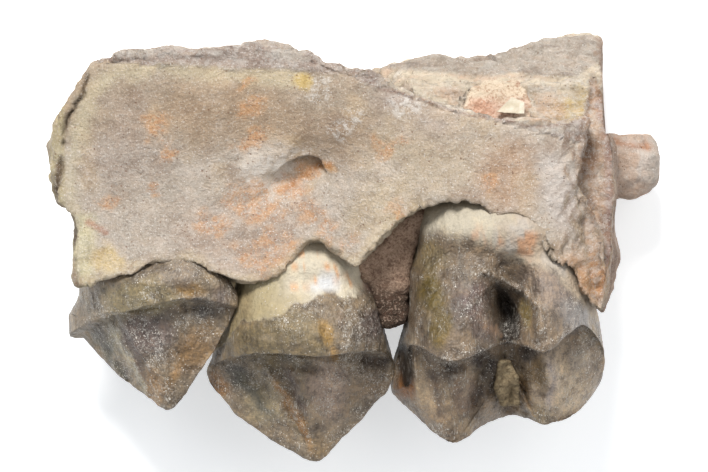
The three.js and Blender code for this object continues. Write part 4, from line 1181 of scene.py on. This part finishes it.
def rear_premolar_piece():
    piece = tooth_piece("rear_premolar_tooth", REAR_PREMOLAR)
    carved(piece, [
        ([(-2.3, -3.9), (-1.9, -5.4), (-1.5, -7.2)], 0.4, -0.28),
        (REAR_RIDGE, 0.35, 0.22),
        ([(-4.4, -7.7), (-3.4, -7.9), (-2.4, -8.2)], 0.3, -0.3),
        ([(0.4, -7.3), (1.2, -7.6), (1.9, -7.6)], 0.35, -0.3),
        ([(-5.0, -9.6), (-4.3, -11.4), (-3.3, -13.2)], 0.28, -0.22),
        ([(-4.0, -8.6), (-3.4, -10.6), (-2.8, -12.6)], 0.35, 0.25),
        ([(-8.4, -8.2), (-7.0, -8.8), (-6.0, -10.4)], 0.5, -0.25),
        ([(-6.9, -8.2), (-5.4, -10.4), (-4.2, -12.4)], 0.2, 0.12),
        ([(-0.8, -8.8), (-0.8, -11.0)], 0.6, -0.18),
        ([(-6.2, -7.6), (-4.6, -9.6), (-2.8, -13.0)], 0.16, 0.2),
        ([(-7.4, -7.8), (-6.0, -9.4)], 0.4, -0.2),
        ([(-7.0, -5.4), (-5.8, -6.6)], 0.5, -0.14),
        ([(-5.6, -5.4), (-4.6, -5.2), (-3.4, -5.8)], 0.2, 0.1),
        (REAR_CREST, 0.14, 0.1),
    ], 231, (0.8, -2.6, -1.0, 0.0, 1.0))
    p = points_of(piece.data)
    root = enamel_border(p, REAR_ENAMEL, 0.14)
    coat = Coat(len(p), (118, 104, 86))
    fine = fractal(p, 1.2, 4, 241)
    coat.patches(p, [
        (-5.2, -6.0, 2.4, 1.5, 10, 0.3, 242, (108, 95, 66), 0.8),
        (-1.9, -5.6, 1.3, 0.4, 12, 0.3, 243, (146, 116, 64), 0.85),
        (-1.4, -7.0, 0.6, 0.6, 20, 0.35, 256, (150, 116, 60), 0.7),
        (-0.9, -4.8, 0.8, 0.5, 5, 0.3, 257, (140, 122, 104), 0.7),
        (1.2, -5.2, 1.6, 0.8, 0, 0.3, 244, (92, 80, 78), 0.85),
        (-1.8, -9.4, 2.2, 0.8, 0, 0.3, 245, (168, 147, 131), 0.85),
        (-5.8, -10.2, 1.8, 1.2, -45, 0.3, 246, (148, 135, 108), 0.8),
        (-3.6, -11.6, 1.2, 0.4, 25, 0.4, 247, (128, 100, 62), 0.8),
        (-8.9, -9.1, 0.9, 1.3, -50, 0.3, 248, (134, 96, 54), 0.85),
        # painted shadow under the crest's left end
        (-7.8, -8.4, 0.8, 1.6, -40, 0.4, 258, (78, 78, 76), 0.7),
        (0.9, -9.2, 1.5, 1.0, 0, 0.3, 249, (136, 118, 98), 0.7),
        # painted shadow in the notch under the crest
        (-3.1, -7.9, 0.5, 1.8, -10, 0.4, 250, (66, 56, 48), 0.75),
    ])
    coat.bands(p, REAR_BANDS, 269)
    coat.patches(p, [
        # painted shadow under the crest's right end
        (1.2, -7.5, 0.6, 1.8, 0, 0.4, 259, (76, 66, 60), 0.7),
        (-2.4, -13.2, 0.9, 1.4, 0, 0.3, 251, (138, 116, 84), 0.7),
    ])
    coat.lay(step(fine, 0.2, 1.1), (144, 132, 116), 0.35)
    coat.lay(step(-fine, 0.2, 1.1), (80, 70, 62), 0.45)
    coat.lay(root, (188, 178, 158), 1.0)
    coat.lay(root * step(-p[:, 0] + 0.6 * fine, 4.0, 6.0), (156, 144, 112), 0.9)
    coat.lay(root * step(-p[:, 1] + 0.6 * fine, 2.4, 4.0) * step(-p[:, 0], 2.6, 4.2), (142, 128, 96), 0.6)
    coat.lay(root * step(-p[:, 0] + 0.4 * fine, 6.2, 7.2), (136, 120, 88), 0.9)
    coat.patches(p, [
        (-3.2, -1.6, 1.0, 1.2, 0, 0.4, 260, (190, 181, 162), 0.8),
        (-2.0, -2.4, 0.9, 1.2, 0, 0.4, 255, (198, 200, 204), 0.8),
    ], root)
    coat.lay(root * step(p[:, 0] + 0.3 * fine, 0.0, 0.9), (124, 90, 78), 0.85)
    wander = p + 0.3 * noise(p, 0.6, 261)[:, None]
    patchy = step(fractal(p, 0.4, 3, 267), -0.3, 0.3)
    for line, width in REAR_ROOT_RUST:
        distance, _, _ = line_distance(wander, line)
        coat.lay(root * patchy * np.exp(-((distance / (0.8 * width)) ** 2)), (196, 138, 86), 0.75)
    chalk = chalked(p, [
        (REAR_RIDGE, 0.45, 1.0), (REAR_CREST, 0.16, 0.6), ([(-4.5, -3.9), (-2.6, -3.4)], 0.22, 1.0),
        ([(-0.6, -3.4), (-0.5, -5.0), (-0.7, -7.6)], 0.3, 1.0),
        ([(-6.4, -7.2), (-4.8, -9.4), (-2.9, -12.8)], 0.3, 0.8),
        ([(-6.0, -8.0), (-4.0, -11.0)], 0.5, 0.4),
    ], [
        (-0.7, -3.3, 0.5, 1.0), (0.0, -7.9, 0.7, 1.0), (-4.9, -8.6, 0.9, 0.7), (-1.3, -8.8, 1.0, 0.7),
        (-7.0, -8.8, 1.0, 0.7), (1.6, -9.0, 1.0, 0.7), (1.0, -11.0, 0.9, 0.8), (0.0, -12.4, 0.8, 0.8),
        (-2.2, -10.4, 0.8, 0.6), (0.6, -5.4, 0.9, 0.6), (-4.9, -5.2, 0.6, 0.6),
    ], 531)
    settle_tooth(piece, "rear_premolar", coat, root, fine, 0.75, chalk)


def front_premolar_piece():
    piece = tooth_piece("front_premolar_tooth", FRONT_PREMOLAR)
    carved(piece, [
        (FRONT_FACET, 0.14, 0.16),
        ([(-16.9, -5.2), (-15.6, -7.6), (-14.6, -9.2)], 0.5, -0.2),
        ([(-11.6, -3.9), (-10.6, -3.8), (-9.6, -3.9)], 0.36, -0.32),
        ([(-11.8, -2.9), (-10.4, -2.8)], 0.35, -0.16),
        ([(-12.7, -5.4), (-12.5, -8.0), (-12.6, -10.0)], 0.3, 0.18),
        ([(-13.9, -5.2), (-13.4, -8.0)], 0.4, -0.12),
        ([(-11.2, -5.2), (-11.8, -8.4)], 0.5, -0.16),
        ([(-8.6, -3.6), (-8.5, -5.4), (-9.6, -7.4), (-11.0, -9.0)], 0.16, 0.16),
        ([(-15.2, -2.0), (-14.9, -3.9)], 0.1, -0.1),
        (FRONT_CREST, 0.15, 0.12),
    ], 261, (0.4, -3.2, -2.0, 0.4, 1.4))
    p = points_of(piece.data)
    root = enamel_border(p, FRONT_ENAMEL, 0.2)
    coat = Coat(len(p), (114, 101, 84))
    fine = fractal(p, 1.2, 4, 271)
    coat.patches(p, [
        (-16.4, -6.8, 1.8, 0.9, -40, 0.3, 272, (102, 98, 82), 0.85),
        (-13.4, -5.8, 2.0, 1.0, 0, 0.3, 273, (100, 86, 82), 0.85),
        (-10.6, -6.8, 1.5, 1.5, 60, 0.3, 274, (122, 96, 64), 0.75),
        (-13.2, -9.4, 1.3, 0.8, 0, 0.4, 275, (130, 102, 68), 0.8),
        (-17.0, -7.4, 0.9, 1.6, -45, 0.3, 276, (118, 92, 60), 0.7),
        (-10.9, -2.8, 0.8, 1.4, -10, 0.3, 277, (128, 100, 58), 0.85),
        (-14.2, -3.2, 1.8, 1.7, 12, 0.3, 278, (126, 114, 82), 0.75),
        (-11.8, -1.9, 1.0, 1.4, 0, 0.3, 281, (124, 112, 100), 0.7),
        # painted shadow in the hollow under the crest
        (-10.2, -4.2, 0.8, 1.7, 0, 0.4, 279, (68, 66, 66), 0.8),
        (-8.8, -3.2, 1.0, 0.8, 30, 0.3, 280, (84, 74, 70), 0.8),
    ])
    coat.bands(p, FRONT_BANDS, 282)
    coat.lay(step(fine, 0.2, 1.1), (158, 144, 124), 0.45)
    coat.lay(step(-fine, 0.2, 1.1), (80, 70, 62), 0.45)
    coat.lay(root, (178, 170, 146), 0.9)
    chalk = chalked(p, [
        (FRONT_CREST, 0.16, 0.6), (FRONT_FACET, 0.12, 1.0), ([(-13.0, -5.6), (-12.8, -7.2)], 0.3, 1.0),
        ([(-12.4, -8.6), (-12.3, -10.0)], 0.15, 1.0), ([(-15.1, -2.4), (-14.9, -3.8)], 0.12, 1.0),
        ([(-17.0, -3.0), (-16.8, -4.2)], 0.1, 0.8), ([(-9.6, -3.6), (-8.6, -4.0)], 0.3, 0.9),
    ], [
        (-14.6, -5.2, 0.9, 0.9), (-13.7, -6.2, 0.9, 0.8), (-11.5, -5.0, 0.8, 0.8), (-13.2, -7.6, 0.6, 0.8),
        (-16.0, -5.6, 1.0, 0.6), (-13.6, -2.9, 0.5, 0.9), (-10.0, -4.4, 0.8, 0.7), (-15.0, -7.6, 0.8, 0.6),
    ], 561)
    settle_tooth(piece, "front_premolar", coat, root, fine, 0.75, chalk)


# Sediment and splinter


def grainy_piece(node, name, voxel, slot, material, base, grain, seed, **more):
    """A grainy lump; more may hold its swell, its smoothing and how dark it is near the teeth's tips."""
    piece = fine_copy(node, name, voxel)
    mesh = piece.data
    set_points(mesh, relaxed(mesh, more.get("smoothing", 4)))
    p, n = points_of(mesh), normals_of(mesh)
    move = grain * (0.6 * fractal(p, 0.9, 4, seed) + 0.4 * fractal(p, 0.3, 2, seed + 7))
    move += more.get("swell", 0.0)
    set_points(mesh, p + n * move[:, None])
    coat = Coat(len(p), base)
    coat.shade(1 + 0.16 * fractal(p, 1.4, 3, seed + 9))
    coat.shade(1 - more.get("deep_shade", 0.0) * step(-p[:, 1], 1.8, 3.6))
    settle(piece, node, material, coat)


POCKET_MIDDLE = np.array([9.4, 9.3])
POCKET_HALF = np.array([2.0, 1.2])
POCKET_SPREAD = np.array([1.2, 1.5])  # how many times wider than the solid the sediment lies
POCKET_RISE = 0.4


def pocket_piece():
    """Crumbly sediment that fills the pocket up to the bone round it."""
    piece = fine_copy("pocket_sediment", "pocket_fill", 0.12)
    mesh = piece.data
    set_points(mesh, relaxed(mesh, 6))
    p, n = points_of(mesh), normals_of(mesh)
    from_middle = p[:, :2] - POCKET_MIDDLE
    across = np.hypot(*(from_middle / POCKET_HALF).T)
    p[:, :2] = POCKET_MIDDLE + from_middle * POCKET_SPREAD
    p[:, 2] += POCKET_RISE * step(n[:, 2], 0.0, 0.4)
    p = p + n * (0.16 * fractal(p, 0.9, 4, 301) + 0.08 * fractal(p, 0.3, 2, 308))[:, None]
    set_points(mesh, p)
    coat = Coat(len(p), (204, 174, 154))
    coat.lay(step(across + 0.3 * fractal(p, 0.9, 3, 309), 0.45, 1.0), (222, 206, 184), 0.85)
    coat.lay(step(fractal(p, 0.5, 3, 310), 0.4, 0.9), (176, 132, 106), 0.6)
    coat.lay(step(p[:, 1] + 0.3 * fractal(p, 0.8, 3, 312), 9.4, 10.0), (208, 192, 168), 0.8)
    coat.lay(spot(p, 8.3, 9.2, 0.8, 1.4, 0, 0.4, 313), (206, 156, 130), 0.7)
    settle(piece, "pocket_sediment", POCKET_SEDIMENT, coat)


make_camera()
make_studio()
BONE = bone_material()
ENAMEL = enamel_material()
PINK_SEDIMENT = sediment_material("pink sediment", (160, 110, 88), (224, 194, 174), 0.18)
POCKET_SEDIMENT = sediment_material("pocket sediment", (158, 118, 94), (218, 202, 184), 0.18)
DARK_SEDIMENT = sediment_material("dark sediment", (112, 86, 72), (204, 176, 156), 0.15)
TAN_SEDIMENT = sediment_material("tan sediment", (94, 80, 60), (160, 146, 118), 0.25)
SPLINTER = splinter_material()

jaw = bone_shape(fine_copy("jaw_bone", "jaw_bone_surface", JAW_GRID))
jaw_coat, jaw_extra = bone_coat(jaw)
settle(jaw, "jaw_bone", BONE, jaw_coat, jaw_extra)
front_premolar_piece()
rear_premolar_piece()
molar_piece()
pocket_piece()
grainy_piece(
    "sinus_sediment", "sinus_fill", 0.22, "sediment", PINK_SEDIMENT, (200, 164, 146), 0.25, 311, swell=0.3,
)
grainy_piece(
    "between_teeth_sediment", "between_teeth_fill", 0.12, "dark_sediment", DARK_SEDIMENT, (178, 150, 128),
    0.2, 321, swell=0.4, deep_shade=0.85,
)
grainy_piece(
    "groove_sediment", "groove_crumb", 0.07, "sediment", TAN_SEDIMENT, (132, 116, 90), 0.16, 331,
    swell=0.14, smoothing=12,
)
grainy_piece(
    "bone_splinter", "white_splinter", 0.06, "splinter", SPLINTER, (166, 155, 134), 0.03, 341,
)
